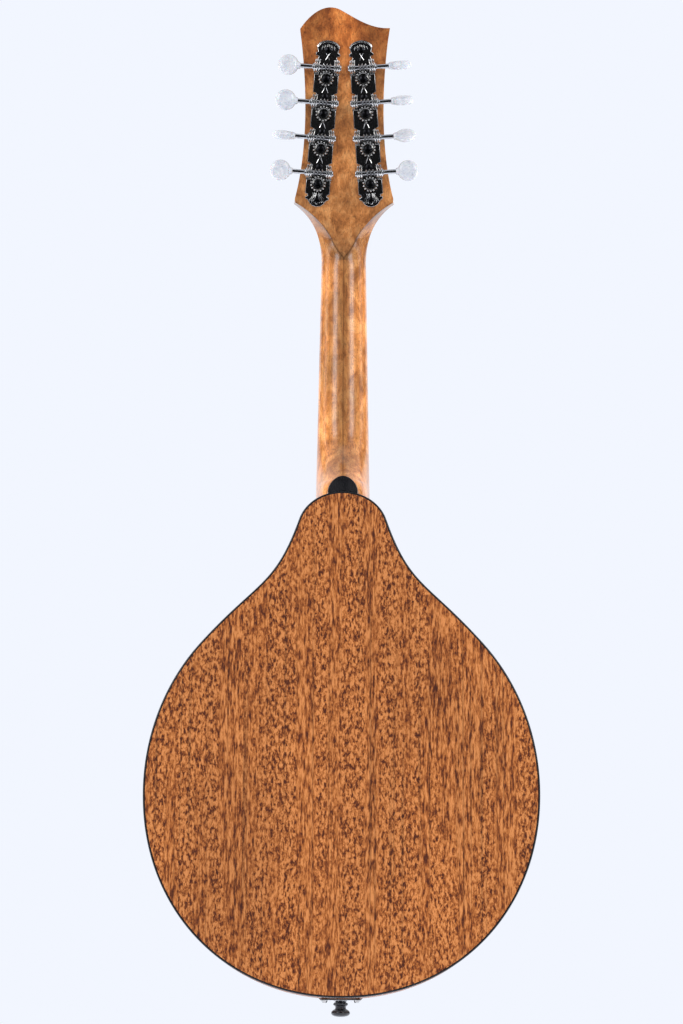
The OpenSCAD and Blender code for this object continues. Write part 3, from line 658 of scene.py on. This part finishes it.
# Rougher from wear, and paler than the strip's nickel so that the raised relief shows painted highlights.
WORN_HIGHLIT_NICKEL = metal("worn_highlit_nickel", (0.90, 0.89, 0.87), (0.55, 0.54, 0.52), (0.16, 0.28))
DARK_NICKEL = metal("nickel_plate", (0.52, 0.51, 0.50), (0.28, 0.27, 0.26), (0.06, 0.16))
BLUED = metal("blued_steel", (0.030, 0.030, 0.034), (0.012, 0.012, 0.014), (0.20, 0.36))
STEEL = metal("steel", (0.56, 0.56, 0.57), (0.30, 0.30, 0.31), (0.10, 0.22))
BRASS = metal("brass", (0.70, 0.48, 0.20), (0.42, 0.27, 0.10), (0.2, 0.38))
WOUND = wound_string()
PLAIN = metal("plain_string", (0.62, 0.62, 0.61), (0.40, 0.40, 0.39), (0.16, 0.26))
BONE = grained("bone", ((0.8, 0.8, 6), 3, 0.5), ((0.3, (0.66, 0.59, 0.43)), (0.7, (0.80, 0.75, 0.62))),
               (0.05, 0.1), 0.34, Subsurface_Weight=0.1, Subsurface_Scale=0.002)


# ----- body


def rounded_corner(y_in, y_out, radius, depth):
    """Section of a strip whose outer corner at y_out is rounded: (inset, y) points."""
    sign = 1 if y_out > y_in else -1
    points = [(radius * (1 - cos(a)), y_out - sign * radius * (1 - sin(a))) for a in sweep(pi / 2, 5)]
    return [(0, y_in)] + points + [(depth, y_out), (depth, y_in)]


def swept(section):
    """A closed strip round the body: each (inset, y) of the section follows the outline."""
    rings = [[(p.x, y, p.y) for p in inset(OUTLINE, distance)] for distance, y in section]
    return Shape().loft(rings, caps=False)


def build_body():
    make("back_plate_wood", Shape().prism(inset(OUTLINE, BINDING_W), BACK - PLATE_T, BACK), BODY, WOOD_BACK,
         replaces=["back_plate"])
    for side, y_in, y_out in (("back", BACK - PLATE_T, BACK), ("top", FRONT + PLATE_T, FRONT)):
        strip = swept(rounded_corner(y_in, y_out, BINDING_ROUND, BINDING_W))
        make(side + "_binding_strip", strip, BODY, BLACK, replaces=[side + "_binding"])
    low, high = FRONT + PLATE_T, BACK - PLATE_T
    make("bent_ribs", swept([(0, low), (0, (low + high) / 2), (0, high), (RIB_T, high), (RIB_T, low)]), BODY,
         WOOD_RIBS, replaces=["ribs"])
    build_soundboard()


def build_soundboard():
    rim = inset(OUTLINE, BINDING_W)
    angles = [atan2(p.y - HOLE_Z, p.x) for p in rim]

    def hole(grow, y):
        points = []
        for a in angles:
            c, s = cos(a), sin(a)
            reach = 1 / hypot(c / (HOLE_RX + grow), s / (HOLE_RZ + grow))
            points.append((reach * c, y, HOLE_Z + reach * s))
        return points

    back = FRONT + PLATE_T
    rings = [[(p.x, back, p.y) for p in rim], [(p.x, FRONT, p.y) for p in rim]]
    rings += [hole(HOLE_ROUND * (1 - sin(a)), FRONT + HOLE_ROUND * (1 - cos(a))) for a in sweep(pi / 2, 4)]
    rings.append(hole(0, back))
    make("soundboard_spruce", Shape().loft(rings, caps=False), BODY, SPRUCE, replaces=["soundboard"])


# ----- neck and headstock


def crown(x):
    """How far the body's round top lies below the neck joint at x."""
    return CROWN_Z + CROWN_RZ * sqrt(max(1 - (x / CROWN_RX) ** 2, 0)) - BODY_L


def section(w, d, f, sharp):
    """Flat in front, a flat of half width f behind, and between them a side that goes from round to straight."""
    right = [(f + (w - f) * cos(a) ** sharp, d * sin(a) ** sharp) for a in sweep(pi / 2, 14)]
    return right + [(-x, y) for x, y in reversed(right)]


def neck_depth(z):
    depth = NECK_T + NECK_TAPER * (NUT_Z - z)
    if z < HEEL_L + HEEL_CAP_H:
        depth += HEEL_RISE * ((HEEL_L + HEEL_CAP_H - max(z, HEEL_CAP_H)) / HEEL_L) ** HEEL_POWER
    lean = tan(acos(NECK_UP.z))
    return min(depth, BACK - FRONT - HEEL_CAP_T - z * lean)


def heel_flat(z):
    if z >= HEEL_CAP_H:
        return 0.6
    rise = max(z, 0) / HEEL_CAP_H
    return max(0.6, HEEL_CAP_W / 2 * (1 - rise ** HEEL_CAP_POWER) ** (1 / HEEL_CAP_POWER))


def neck_ring(z):
    ease = min(max(z / 14, 0), 1)
    near = max(0, (z - NUT_Z) / (HEAD_Z - NUT_Z) + 1) if z > NUT_Z - 6 else 0
    return [NECK @ Vector((x, y, z + crown(x) * (1 - ease) ** 2))
            for x, y in section(neck_half(z), neck_depth(z), heel_flat(z), 1 + 0.1 * near)]


def shoulder_ring(p):
    """Between the neck and the headstock corners the back flat opens from a point and its edges sharpen."""
    s = p.y
    flat = max(0.6, min(crease_half(s), p.x - 1))
    sharp = 1 + 0.9 * min(1, (s + V_DEPTH) / 12)
    depth = HEAD_T + (neck_depth(NUT_Z) - HEAD_T) * max(0, 1 - s / 4)
    return [HEAD @ Vector((x, y, s)) for x, y in section(p.x, depth, flat, sharp)]


def build_neck():
    heel = [HEEL_CAP_H * sin(a) for a in sweep(pi / 2, 16)] + [11.2, 12.2, 13.4, 14.8]
    shaft = [16 + i * 2 for i in range(76)]
    rings = [neck_ring(z) for z in heel + shaft if z < NUT_Z] + [neck_ring(NUT_Z)]
    rings += [shoulder_ring(p) for p in shoulder_curve()]
    n = len(rings[0])
    shape = Shape().loft(rings)
    shape.faces.pop()
    last = (len(rings) - 1) * n
    start = len(shape.verts)
    inner = head_outline()[1:-1]
    for p in inner:
        shape.verts += [HEAD @ Vector((p.x, 0, p.y)), HEAD @ Vector((p.x, HEAD_T, p.y))]
    front = [last] + [start + 2 * i for i in range(len(inner))] + [last + n - 1]
    back = [last + n // 2 - 1] + [start + 2 * i + 1 for i in range(len(inner))] + [last + n // 2]
    sides = [[front[i], front[i + 1], back[i + 1], back[i]] for i in range(1, len(front) - 2)]
    right = [last + i for i in range(n // 2)]
    left = [last + i for i in range(n // 2, n)]
    sides += [[front[1], back[1]] + right[::-1], [back[-2], front[-2]] + left[::-1]]
    shape.faces += [front, back[::-1]] + sides
    make("neck_maple", shape, IDENTITY, MAPLE, replaces=["neck"], smooth=28, bevel=0.5,
         segments=3)


def build_headplate():
    side = [Vector((15.3, 3))] + shoulder_curve()[3:-1]
    outline = side + head_outline() + [Vector((-p.x, p.y)) for p in reversed(side)]
    make("headplate_veneer", Shape().prism(outline, -HEADPLATE_T, -0.02), HEAD, LACQUER, replaces=["headplate"],
         bevel=0.35)


def fret_z(n):
    return NUT_Z - SCALE_L * (1 - 2 ** (-n / 12))


def build_board():
    dress("fingerboard", EBONY, 0.4)
    dress("fret_markers", PEARL)
    frets = Shape()
    for n in range(1, FRET_COUNT + 1):
        half = neck_half(fret_z(n)) - 0.5
        arch = [(FRET_W / 2 * cos(a), FRET_H * sin(a)) for a in sweep(pi, 10)]
        rings = []
        for x, scale in ((-half, 0.55), (-half + 0.5, 1), (half - 0.5, 1), (half, 0.55)):
            rings.append([(x, -BOARD_T - h * scale, fret_z(n) + w) for w, h in arch])
        frets.loft(rings)
    make("fret_wire", frets, NECK, NICKEL, replaces=["frets"], smooth=40)
    dress("heel_cap", BLACK, 0.3)


def course_x(k, course, pair):
    return (k // 2 - 1.5) * course + (k % 2 - 0.5) * pair


def build_nut():
    top = NUT_TOP + 0.5
    outline = [(NUT_W / 2, 0), (NUT_W / 2, -top + 1.2), (NUT_W / 2 - 0.8, -top)]
    for k in reversed(range(8)):
        x, r = course_x(k, NUT_COURSE, NUT_PAIR), STRING_R[k // 2]
        half = r + 0.05
        outline += [(x + half, -top), (x + half, -NUT_TOP), (x - half, -NUT_TOP), (x - half, -top)]
    outline += [(-NUT_W / 2 + 0.8, -top), (-NUT_W / 2, -top + 1.2), (-NUT_W / 2, 0)]
    rings = [[(x, y, z) for x, y in outline] for z in (NUT_Z, HEAD_Z)]
    make("nut_bone", Shape().loft(rings), NECK, BONE, replaces=["nut"], bevel=0.15)


# ----- tuners


def mirror_half(points):
    """A closed outline in x and z from its +x half, from the lowest to the highest point."""
    return [(x, z) for x, z in points] + [(-x, z) for x, z in reversed(points) if x > 0.01]


def strip_outline():
    """The tuner strip: a round foot with ears, a waist below each worm, and an arched cap."""
    top = 3 * POST_STEP + PLATE_HIGH
    half = [(0, -PLATE_LOW)]
    half += [(6.6 * sin(a), -PLATE_LOW + 6.6 * (1 - cos(a))) for a in (0.4, 0.8, 1.2)]
    half += [(6.4, -10.4), (8.0, -9.9), (8.0, -8.4), (6.6, -7.9), (6.6, -6.8)]
    for i in range(4):
        gear = i * POST_STEP
        half += [(PLATE_HALF, gear - (8.8 if i else 6.2)), (PLATE_HALF, gear + 4.0), (7.4, gear + 4.6),
                 (7.4, gear + 12.6)]
        if i < 3:
            half += [(6.0, gear + 13.2), (6.0, gear + POST_STEP - 9.6)]
    half += [(6.2, top - 11.4), (6.2, top - 10.6), (8.2, top - 10.2), (8.2, top - 8.4), (6.8, top - 7.8)]
    half += [(7.6, top - 5.0)]
    half += [(7.4 * cos(a), top - 5.0 + 5.0 * sin(a)) for a in (0.35, 0.7, 1.05, 1.35)]
    half += [(0, top)]
    return mirror_half(half)


def bead(radius):
    """A low dome, as a lathe profile."""
    return [(0, -0.3), (radius, -0.3), (radius, 0), (radius * 0.85, radius * 0.45), (radius * 0.5, radius * 0.75),
            (0, radius * 0.85)]


def between(a, b, steps):
    return [a.lerp(b, i / steps) for i in range(steps + 1)]


def leaf(shape, start, end, width, height, base):
    """A raised, engraved leaf from start to end on the strip."""
    a, b = Vector((start[0], base, start[1])), Vector((end[0], base, end[1]))
    steps = 7
    side = (b - a).normalized().cross(Vector((0, 1, 0)))
    rings = []
    for i, p in enumerate(between(a, b, steps)):
        swell = sin(pi * (0.08 + 0.84 * i / steps))
        w, h = width * swell, height * swell
        rings.append([p - side * w - Vector((0, 0.2, 0)), p - side * w, p - side * w * 0.4 + Vector((0, h, 0)),
                      p + side * w * 0.4 + Vector((0, h, 0)), p + side * w, p + side * w - Vector((0, 0.2, 0))])
    shape.loft(rings)


def lug(shape, side, z):
    """One bearing stand of a worm: a cheek under three hoops that run down to the strip, and a bar."""
    base = STRIP_T
    axis = base + SHAFT_H
    outline = [(z + 2.1 * cos(a), axis + 1.8 * sin(a)) for a in sweep(pi, 14)]
    outline += [(z - 2.1, base - 0.3), (z + 2.1, base - 0.3)]
    shape.loft([[(side * x, y, pz) for pz, y in outline] for x in (LUG_IN + 0.2, LUG_IN + LUG_T - 0.2)])
    path = [(-3.4, base + 0.1), (-3.0, base + 2.4), (-2.2, axis + 1.2), (-0.9, axis + 2.05), (0.9, axis + 2.05),
            (2.3, axis + 1.0), (3.3, base + 2.2), (4.5, base + 0.7), (5.6, base + 0.1)]
    bend = [1, 1, 1, 1, 1, 1, 0.99, 0.96, 0.90]
    for x in (5.35, 6.85, 8.3):
        shape.tube([(side * x * b, y, z + dz) for (dz, y), b in zip(path, bend)], 0.47, 8)
    shape.tube([(side * 4.9, base + 0.2, z - 4.0), (side * 8.6, base + 0.2, z - 4.0)], 0.40, 8)


def build_strips():
    for side in ("bass", "treble"):
        at = tuner_matrix(side + "_1")
        strip = Shape().prism(strip_outline(), 0, STRIP_T)
        make("tuner_strip_" + side, strip, at, DARK_NICKEL, replaces=["tuner_plate_" + side],
             bevel=0.45, segments=3)
        relief = Shape()
        top = 3 * POST_STEP + PLATE_HIGH
        for i in range(4):
            gear = i * POST_STEP
            for dx in (-1, 1):
                lug(relief, dx, gear + WORM_OFFSET)
                if i < 3:
                    path = [(0.3, 0, 18.4), (1.1, 0.2, 16.6), (2.0, 0.2, 14.4)]
                    relief.tube([(dx * x, STRIP_T + y, gear + z) for x, y, z in path], [0.16, 0.24, 0.26], 6)
            if i < 3:
                relief.hoop(0.75, 0.18, 0, Matrix.Translation((0, STRIP_T + 0.1, gear + 19.0)), 14)
        for dx in (-4.4, -2.4, -0.6, 0.6, 2.4, 4.4):
            leaf(relief, (dx, top - 6.2), (dx * 0.86, top - 2.2 - abs(dx) * 0.36), 0.5, 0.8, STRIP_T)
        for radius in (7.1, 8.0):
            arch = [(min(radius, 7.7) * cos(a), STRIP_T, top - 5.4 + (radius - 2.6) * sin(a))
                    for a in sweep(pi, 18)[1:-1]]
            relief.tube(arch, 0.25, 6)
        for dx in (-1, 1):
            relief.tube([(dx * 1.2, STRIP_T, top - 8.6), (0, STRIP_T + 0.2, top - 10.6),
                         (-dx * 1.3, STRIP_T, top - 13.0)], 0.25, 6)
            for start, end in ((0.9, 2.4), (1.9, 3.8), (2.9, 5.2)):
                path = [(start, 0.1, -5.7), (start * 0.8 + 0.1, 0.2, -7.2), ((start + end) * 0.48, 0.25, -9.3),
                        (end, 0.2, -11.3), (end - 0.5, 0, -12.3)]
                relief.tube([(dx * x, STRIP_T + y, z) for x, y, z in path], 0.27, 6)
        drop = [(1.25 * sin(a) * (1 - 0.3 * cos(a)), STRIP_T + 0.15, -11.0 - 2.0 * cos(a))
                for a in around(20)]
        relief.tube(drop, 0.27, 6, closed=True)
        make("relief_" + side, relief, at, WORN_HIGHLIT_NICKEL, smooth=40)


def build_plate_screws():
    heads = Shape()
    profile = [(0, -1.2), (1.3, -1.2), (1.3, 0.02), (2.1, 0.02), (2.0, 0.5), (1.3, 0.85), (0, 0.95)]
    for first in ("bass_1", "treble_1"):
        at = tuner_matrix(first)
        for z in [-10] + [i * POST_STEP - SCREW_BELOW for i in (1, 2, 3)] + [3 * POST_STEP + 20]:
            local = Matrix.Translation((0, STRIP_T, z))
            heads.lathe(profile, at @ local, 20)
            for angle in (35, 125):
                cross = local @ Matrix.Rotation(radians(angle), 4, "Y")
                heads.box((-1.2, 0.7, -0.16), (1.2, 1.0, 0.16), at @ cross)
    make("strip_screws", heads, IDENTITY, BLUED, replaces=["tuner_plate_screws"])


def shaft_matrix(tuner):
    return tuner_matrix(tuner) @ Matrix.Translation((0, STRIP_T + SHAFT_H, WORM_OFFSET))


def build_worm(tuner):
    """Shaft with a single-start thread, a shoulder collar and an end stop."""
    shape = Shape()
    lead = 2 * pi * GEAR_PITCH_R / GEAR_TEETH
    per_turn = 24
    rings = []
    for j in range(WORM_TURNS * per_turn + 1):
        along = (j / per_turn - WORM_TURNS / 2) * lead
        phase = -2 * pi * j / per_turn + pi * (1 + WORM_TURNS)
        ring = []
        for a in around(24):
            r = WORM_CORE_R + WORM_THREAD * ((1 + cos(a - phase)) / 2) ** 2.5
            ring.append((along, r * sin(a), -r * cos(a)))
        rings.append(ring)
    shape.loft(rings)
    reach = BUTTON_REACH - 5
    start = LUG_IN + LUG_T
    collars = [(0, -start - 1.5), (2.0, -start - 1.5), (2.3, -start - 1.1), (2.3, -start - 0.5),
               (1.6, -start - 0.3), (1.6, start + 0.3), (2.2, start + 0.3), (2.45, start + 0.7),
               (2.45, start + 1.2), (1.7, start + 1.5), (1.6, start + 1.8)]
    shape.lathe(collars + [(1.6, reach), (0, reach)], turned((1, 0, 0)), 24)
    make("worm_shaft_" + tuner, shape, shaft_matrix(tuner), STEEL, "knob_" + tuner, ["worm_" + tuner],
         smooth=40)


def build_button(tuner):
    """A round pearloid button, thick in the middle, on a tapered stem."""
    shape = Shape()
    r, t = BUTTON_R, BUTTON_T / 2
    profile = [(0, -t), (r * 0.45, -t + 0.05), (r * 0.75, -t + 0.35), (r - 0.75, -t + 0.95), (r - 0.2, -t + 1.6),
               (r, -t + 2.3), (r, t - 2.3), (r - 0.2, t - 1.6), (r - 0.75, t - 0.95), (r * 0.75, t - 0.35),
               (r * 0.45, t - 0.05), (0, t)]
    shape.lathe(profile, Matrix.Translation((BUTTON_REACH, 0, 0)), 48)
    stem = BUTTON_REACH - BUTTON_R - 1.2
    shape.lathe([(0, stem), (2.0, stem), (2.3, stem + 0.3), (2.4, stem + 1.0), (2.8, stem + 2.4), (0, stem + 3)],
                turned((1, 0, 0)), 28)
    turn = Matrix.Rotation(radians(BUTTON_TURN[tuner]), 4, "X")
    make("pearl_" + tuner, shape, shaft_matrix(tuner) @ turn, PEARL, "knob_" + tuner, ["button_" + tuner],
         smooth=50)


def gear_outline():
    flank = [(GEAR_ROOT_R, 0.62), (GEAR_TIP_R - 0.5, 0.40), (GEAR_TIP_R, 0.16)]
    tooth = [(r, -w) for r, w in flank] + flank[::-1]
    return [(r * cos(a) - w * sin(a), r * sin(a) + w * cos(a))
            for a in around(GEAR_TEETH, pi / 2) for r, w in tooth]


def build_post(tuner):
    """String post through the headstock with its toothed wheel, dished in the middle round a slotted screw."""
    shape = Shape()
    front = HEAD_T + HEADPLATE_T + POST_ABOVE
    shape.lathe([(0, -front), (2.3, -front), (2.9, -front + 0.6), (2.95, -front + 3.2), (2.8, -front + 4.0),
                 (2.8, -front + 10.2), (3.0, -front + 10.8), (3.0, 2.2), (0, 2.2)], segments=28)
    low = STRIP_T + SHAFT_H - GEAR_T / 2
    high = low + GEAR_T
    teeth = gear_outline()
    rings = [[(x, low, z) for x, z in teeth], [(x, high - 0.6, z) for x, z in teeth],
             [(0.93 * x, high - 0.1, 0.93 * z) for x, z in teeth]]
    for radius, y in ((GEAR_FACE_R, high - 0.1), (3.2, high - 0.5), (3.1, high - 1.2)):
        rings.append([(radius * x / hypot(x, z), y, radius * z / hypot(x, z)) for x, z in teeth])
    shape.loft(rings)
    for a in around(GEAR_TEETH, pi / 2):
        shape.lathe(bead(0.66), Matrix.Translation((4.65 * cos(a), high - 0.15, 4.65 * sin(a))), 12)
    shape.hoop(2.95, 0.26, high - 0.25)
    shape.lathe([(0, STRIP_T + 0.15), (GEAR_FACE_R, STRIP_T + 0.15), (GEAR_FACE_R, low + 0.01),
                 (0, low + 0.01)], segments=28)
    make("geared_post_" + tuner + "_wheel", shape, tuner_matrix(tuner), NICKEL, "geared_post_" + tuner,
         ["post_" + tuner], smooth=38)
    screw = Shape().lathe([(0, high - 1.6), (2.65, high - 1.6), (2.65, high - 0.75), (2.2, high - 0.9),
                           (2.1, high - 0.4), (1.5, high - 0.1), (0, high)], segments=28)
    screw.box((-1.7, high - 0.35, -0.22), (1.7, high + 0.12, 0.22))
    turn = Matrix.Rotation(radians(37 * TUNERS.index(tuner)), 4, "Y")
    make("wheel_screw_" + tuner, screw, tuner_matrix(tuner) @ turn, BLUED, "geared_post_" + tuner)


def build_bushings():
    shape = Shape()
    for tuner in TUNERS:
        y = -HEAD_T - HEADPLATE_T
        profile = [(3.06, y + 7), (3.06, y - 1.0), (3.6, y - 1.0), (5.0, y - 0.6), (5.4, y), (4.38, y),
                   (4.38, y + 7)]
        shape.lathe(profile, tuner_matrix(tuner), bored=True)
    make("post_ferrules", shape, IDENTITY, NICKEL, replaces=["tuner_bushings"])


def build_tuners():
    build_strips()
    build_plate_screws()
    build_bushings()
    for tuner in TUNERS:
        build_worm(tuner)
        build_button(tuner)
        build_post(tuner)


# ----- bridge, tailpiece, end pin


def build_bridge():
    for node in ("bridge_base", "bridge_saddle"):
        dress(node, EBONY, 0.5)
    for node in ("bridge_posts", "thumbwheel_bass", "thumbwheel_treble"):
        dress(node, NICKEL)


def build_tailpiece():
    for part, bevel in (("base", 0.2), ("cover", 0.3), ("screws", 0.15)):
        dress("tailpiece_" + part, NICKEL, bevel)


def build_end_pin():
    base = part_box("end_pin")[0].z / MM
    down = turned((0, 0, 1), (0, 0, base))
    shape = Shape().lathe([(0, 0), (2.2, 0.08), (4.0, 0.45), (5.4, 1.15), (6.0, 2.0), (6.05, 2.7), (5.7, 3.6),
                           (4.8, 4.4), (3.7, 5.0), (3.4, 5.6), (3.4, 6.4), (3.8, 6.95), (4.5, 7.3), (4.75, 7.8),
                           (4.7, 8.4), (4.2, 8.9), (3.4, 9.3), (3.1, 9.4), (3.1, 32), (0, 32)], down, 48)
    make("strap_button", shape, BODY, BLACK, replaces=["end_pin"], smooth=50)
    rim = [(3.3, 9.42), (3.75, 9.5), (4.1, 9.9), (4.1, 10.28), (3.3, 10.28)]
    washer = Shape().lathe(rim, down, 40, bored=True)
    make("strap_button_washer", washer, BODY, STEEL)


# ----- strings


def string_path(k):
    """Hook, saddle, both edges of the nut and the inner side of the post, in row millimetres."""
    r = STRING_R[k // 2]
    low, high = (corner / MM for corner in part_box("bridge_saddle"))
    x_saddle, x_nut = course_x(k, SADDLE_COURSE, SADDLE_PAIR), course_x(k, NUT_COURSE, NUT_PAIR)
    over_nut = -NUT_TOP - r - 0.03
    post = HEAD.inverted() @ (joint_point("post_turn_" + tuner_of(k)) * MM)
    inner = post.x - copysign(POST_R + r, post.x)
    points = [Vector((x_saddle * 0.75, FRONT - 5, HOOK_Z)),
              Vector((x_saddle, low.y - r - 0.1, (low.z + high.z) / 2))]
    points += [NECK @ Vector((x_nut, over_nut, z)) / MM for z in (NUT_Z - 0.2, HEAD_Z)]
    return points + [HEAD @ Vector((inner, -HEADPLATE_T - 5, post.z)) / MM]


def tuner_of(k):
    return f"bass_{k + 1}" if k < 4 else f"treble_{8 - k}"


def build_strings():
    """Each pair is one piece per stretch; the stretches beside the saddle are not attached to any body."""
    for course, (name, material) in enumerate((("g", WOUND), ("d", WOUND), ("a", PLAIN), ("e", PLAIN))):
        tail, middle, head = Shape(), Shape(), Shape()
        for k in (2 * course, 2 * course + 1):
            hook, saddle, nut_low, nut_high, post = string_path(k)
            r = STRING_R[course]
            tail.tube(between(hook, saddle, 12), r, 8)
            middle.tube(between(saddle, nut_low, 24), r, 8)
            head.tube([nut_low, nut_high] + between(nut_high, post, 6)[1:], r, 8)
            head.hoop(1.1, r, 0, Matrix.Translation(hook - Vector((0, 0, 1.1))), 14)
        replaces = ["strings"] if course == 0 else []
        saddle_at, hook_at, nut_at = saddle * MM, hook * MM, nut_low * MM
        make(f"string_{name}_head", head, BODY, material, replaces=replaces, smooth=60)
        for part, shape, ends in (("tail", tail, ("instrument", "saddle", hook_at, saddle_at)),
                                  ("span", middle, ("saddle", "instrument", saddle_at, nut_at))):
            make(f"string_{name}_{part}", shape, BODY, material, body=ends, smooth=60)
    for k in range(8):
        build_coil(k)


def build_coil(k):
    """The turns of a string round its post, which then dives into the post's hole."""
    r = STRING_R[k // 2]
    tuner = tuner_of(k)
    reach = POST_R + r - 0.2
    start = -HEAD_T - HEADPLATE_T - 5
    points = []
    for i in range(COIL_POINTS):
        a = pi - 2 * pi * i / COIL_STEPS
        fade = min(1, (COIL_POINTS - i) / COIL_DIVE)
        rise = (2 * r + 0.05) * min(i, COIL_POINTS - COIL_DIVE) / COIL_STEPS
        points.append((reach * fade * cos(a), start + rise, reach * fade * sin(a)))
    make(f"string_coil_{tuner}", Shape().tube(points, r, 6), tuner_matrix(tuner), WOUND if k < 4 else PLAIN,
         "geared_post_" + tuner, smooth=60)


# ----- insides


def build_insides():
    for node in ("neck_block", "tail_block", "linings", "top_braces", "back_braces"):
        dress(node, INNER)
    dress("truss_rod", STEEL)
    dress("truss_rod_nut", BRASS, 0.2)
    dress("truss_rod_cover", LACQUER, 0.3)
    dress("truss_cover_screws", NICKEL, 0.15)


# ----- studio, in metres

FLOOR_Z = -0.09
CAMERA_AWAY = 1.70
CAMERA_BELOW = 11.6  # degrees
CAMERA_ROLL = 0.25  # degrees
CAMERA_LENS = 91.55


def area_light(name, location, target, size, power):
    data = bpy.data.lights.new(name, "AREA")
    data.shape = "RECTANGLE"
    data.size, data.size_y = size
    data.energy = power
    light = put(bpy.data.objects.new(name, data))
    light.location = location
    light.visible_camera = False
    light.rotation_euler = (Vector(target) - Vector(location)).to_track_quat("-Z", "Y").to_euler()
    return light


def sheet(name, half_w, half_d, material):
    mesh = bpy.data.meshes.new(name)
    corners = [(-half_w, -half_d, 0), (half_w, -half_d, 0), (half_w, half_d, 0), (-half_w, half_d, 0)]
    mesh.from_pydata(corners, [], [(0, 1, 2, 3)])
    mesh.materials.append(material)
    return put(bpy.data.objects.new(name, mesh))


def dark_card(name, location, size, turn=None):
    """A black card that only reflections see, so that bright metal has something dark to mirror."""
    paper = Nodes(name)
    tone = paper.noise((400, 400, 400), 2, 0.5)
    black = paper.finish(paper.ramp(tone, (0.3, 0.012), (0.7, 0.02)), 1.0, Specular_IOR_Level=0.0)
    card = sheet(name, size[0] / 2, size[1] / 2, black)
    card.location = location
    card.rotation_euler = turn or (-Vector((*location[:2], 0))).to_track_quat("Z", "Y").to_euler()
    for ray in ("camera", "diffuse", "shadow", "transmission", "volume_scatter"):
        setattr(card, "visible_" + ray, False)


def compass(degrees, distance, height):
    """A place round the instrument: 90 degrees is straight behind its back."""
    a = radians(degrees)
    return (distance * cos(a), distance * sin(a), height)


def build_studio():
    """White room, a pair of soft boxes on each face with dark cards between them, and two side fills."""
    bpy.context.scene.view_settings.view_transform = "Standard"
    world = bpy.data.worlds.new("studio")
    world.use_nodes = True
    background = world.node_tree.nodes["Background"]
    background.inputs["Color"].default_value = (0.888, 0.922, 1.0, 1)
    background.inputs["Strength"].default_value = 1.0
    bpy.context.scene.world = world
    centre = (0, 0, 0.40)
    dark_card("back_card", compass(90, 3, 0.6), (3.0, 6.5))
    dark_card("back_floor_card", (0, 1.7, FLOOR_Z + 0.005), (3.0, 2.7), (0, 0, 0))
    for name, middle, power in (("back", 90, 7.5), ("front", 270, 7)):
        for off in (-37, 37):
            box = area_light(f"{name}_box_{off}", compass(middle + off, 2, 1.0), centre, (0.7, 0.85), power)
            box.visible_glossy = name == "back"
            dark_card(f"{name}_card_{off}", compass(middle + 1.73 * off, 3, 0.3), (1.8, 4.0))
    for middle in (-10, 190):
        fill = area_light(f"side_fill_{middle}", compass(middle, 2, 0.6), centre, (1.0, 1.6), 34)
        fill.visible_glossy = False
    paper = Nodes("studio_paper")
    grain = paper.noise((900, 900, 900), 3, 0.5)
    pale = paper.finish(paper.ramp(grain, (0.3, (0.80, 0.83, 0.89)), (0.7, (0.84, 0.87, 0.93))), 0.8)
    floor = sheet("floor", 6, 6, pale)
    floor.location.z = FLOOR_Z


def build_camera():
    """Behind the instrument and a little below its middle, because the instrument leans away."""
    tilt = radians(CAMERA_BELOW)
    aim = Vector((0.0008, BACK * MM, 0.312))
    away = Vector((0, cos(tilt), -sin(tilt)))
    data = bpy.data.cameras.new("camera")
    data.lens = CAMERA_LENS
    data.sensor_width = 36
    camera = put(bpy.data.objects.new("camera", data))
    camera.location = aim + CAMERA_AWAY * away
    roll = Matrix.Rotation(radians(CAMERA_ROLL), 4, "Z")
    camera.rotation_euler = ((-away).to_track_quat("-Z", "Y").to_matrix().to_4x4() @ roll).to_euler()
    bpy.context.scene.camera = camera


build_camera()
build_studio()
build_body()
build_neck()
build_headplate()
build_board()
build_nut()
build_tuners()
build_bridge()
build_tailpiece()
build_end_pin()
build_strings()
build_insides()
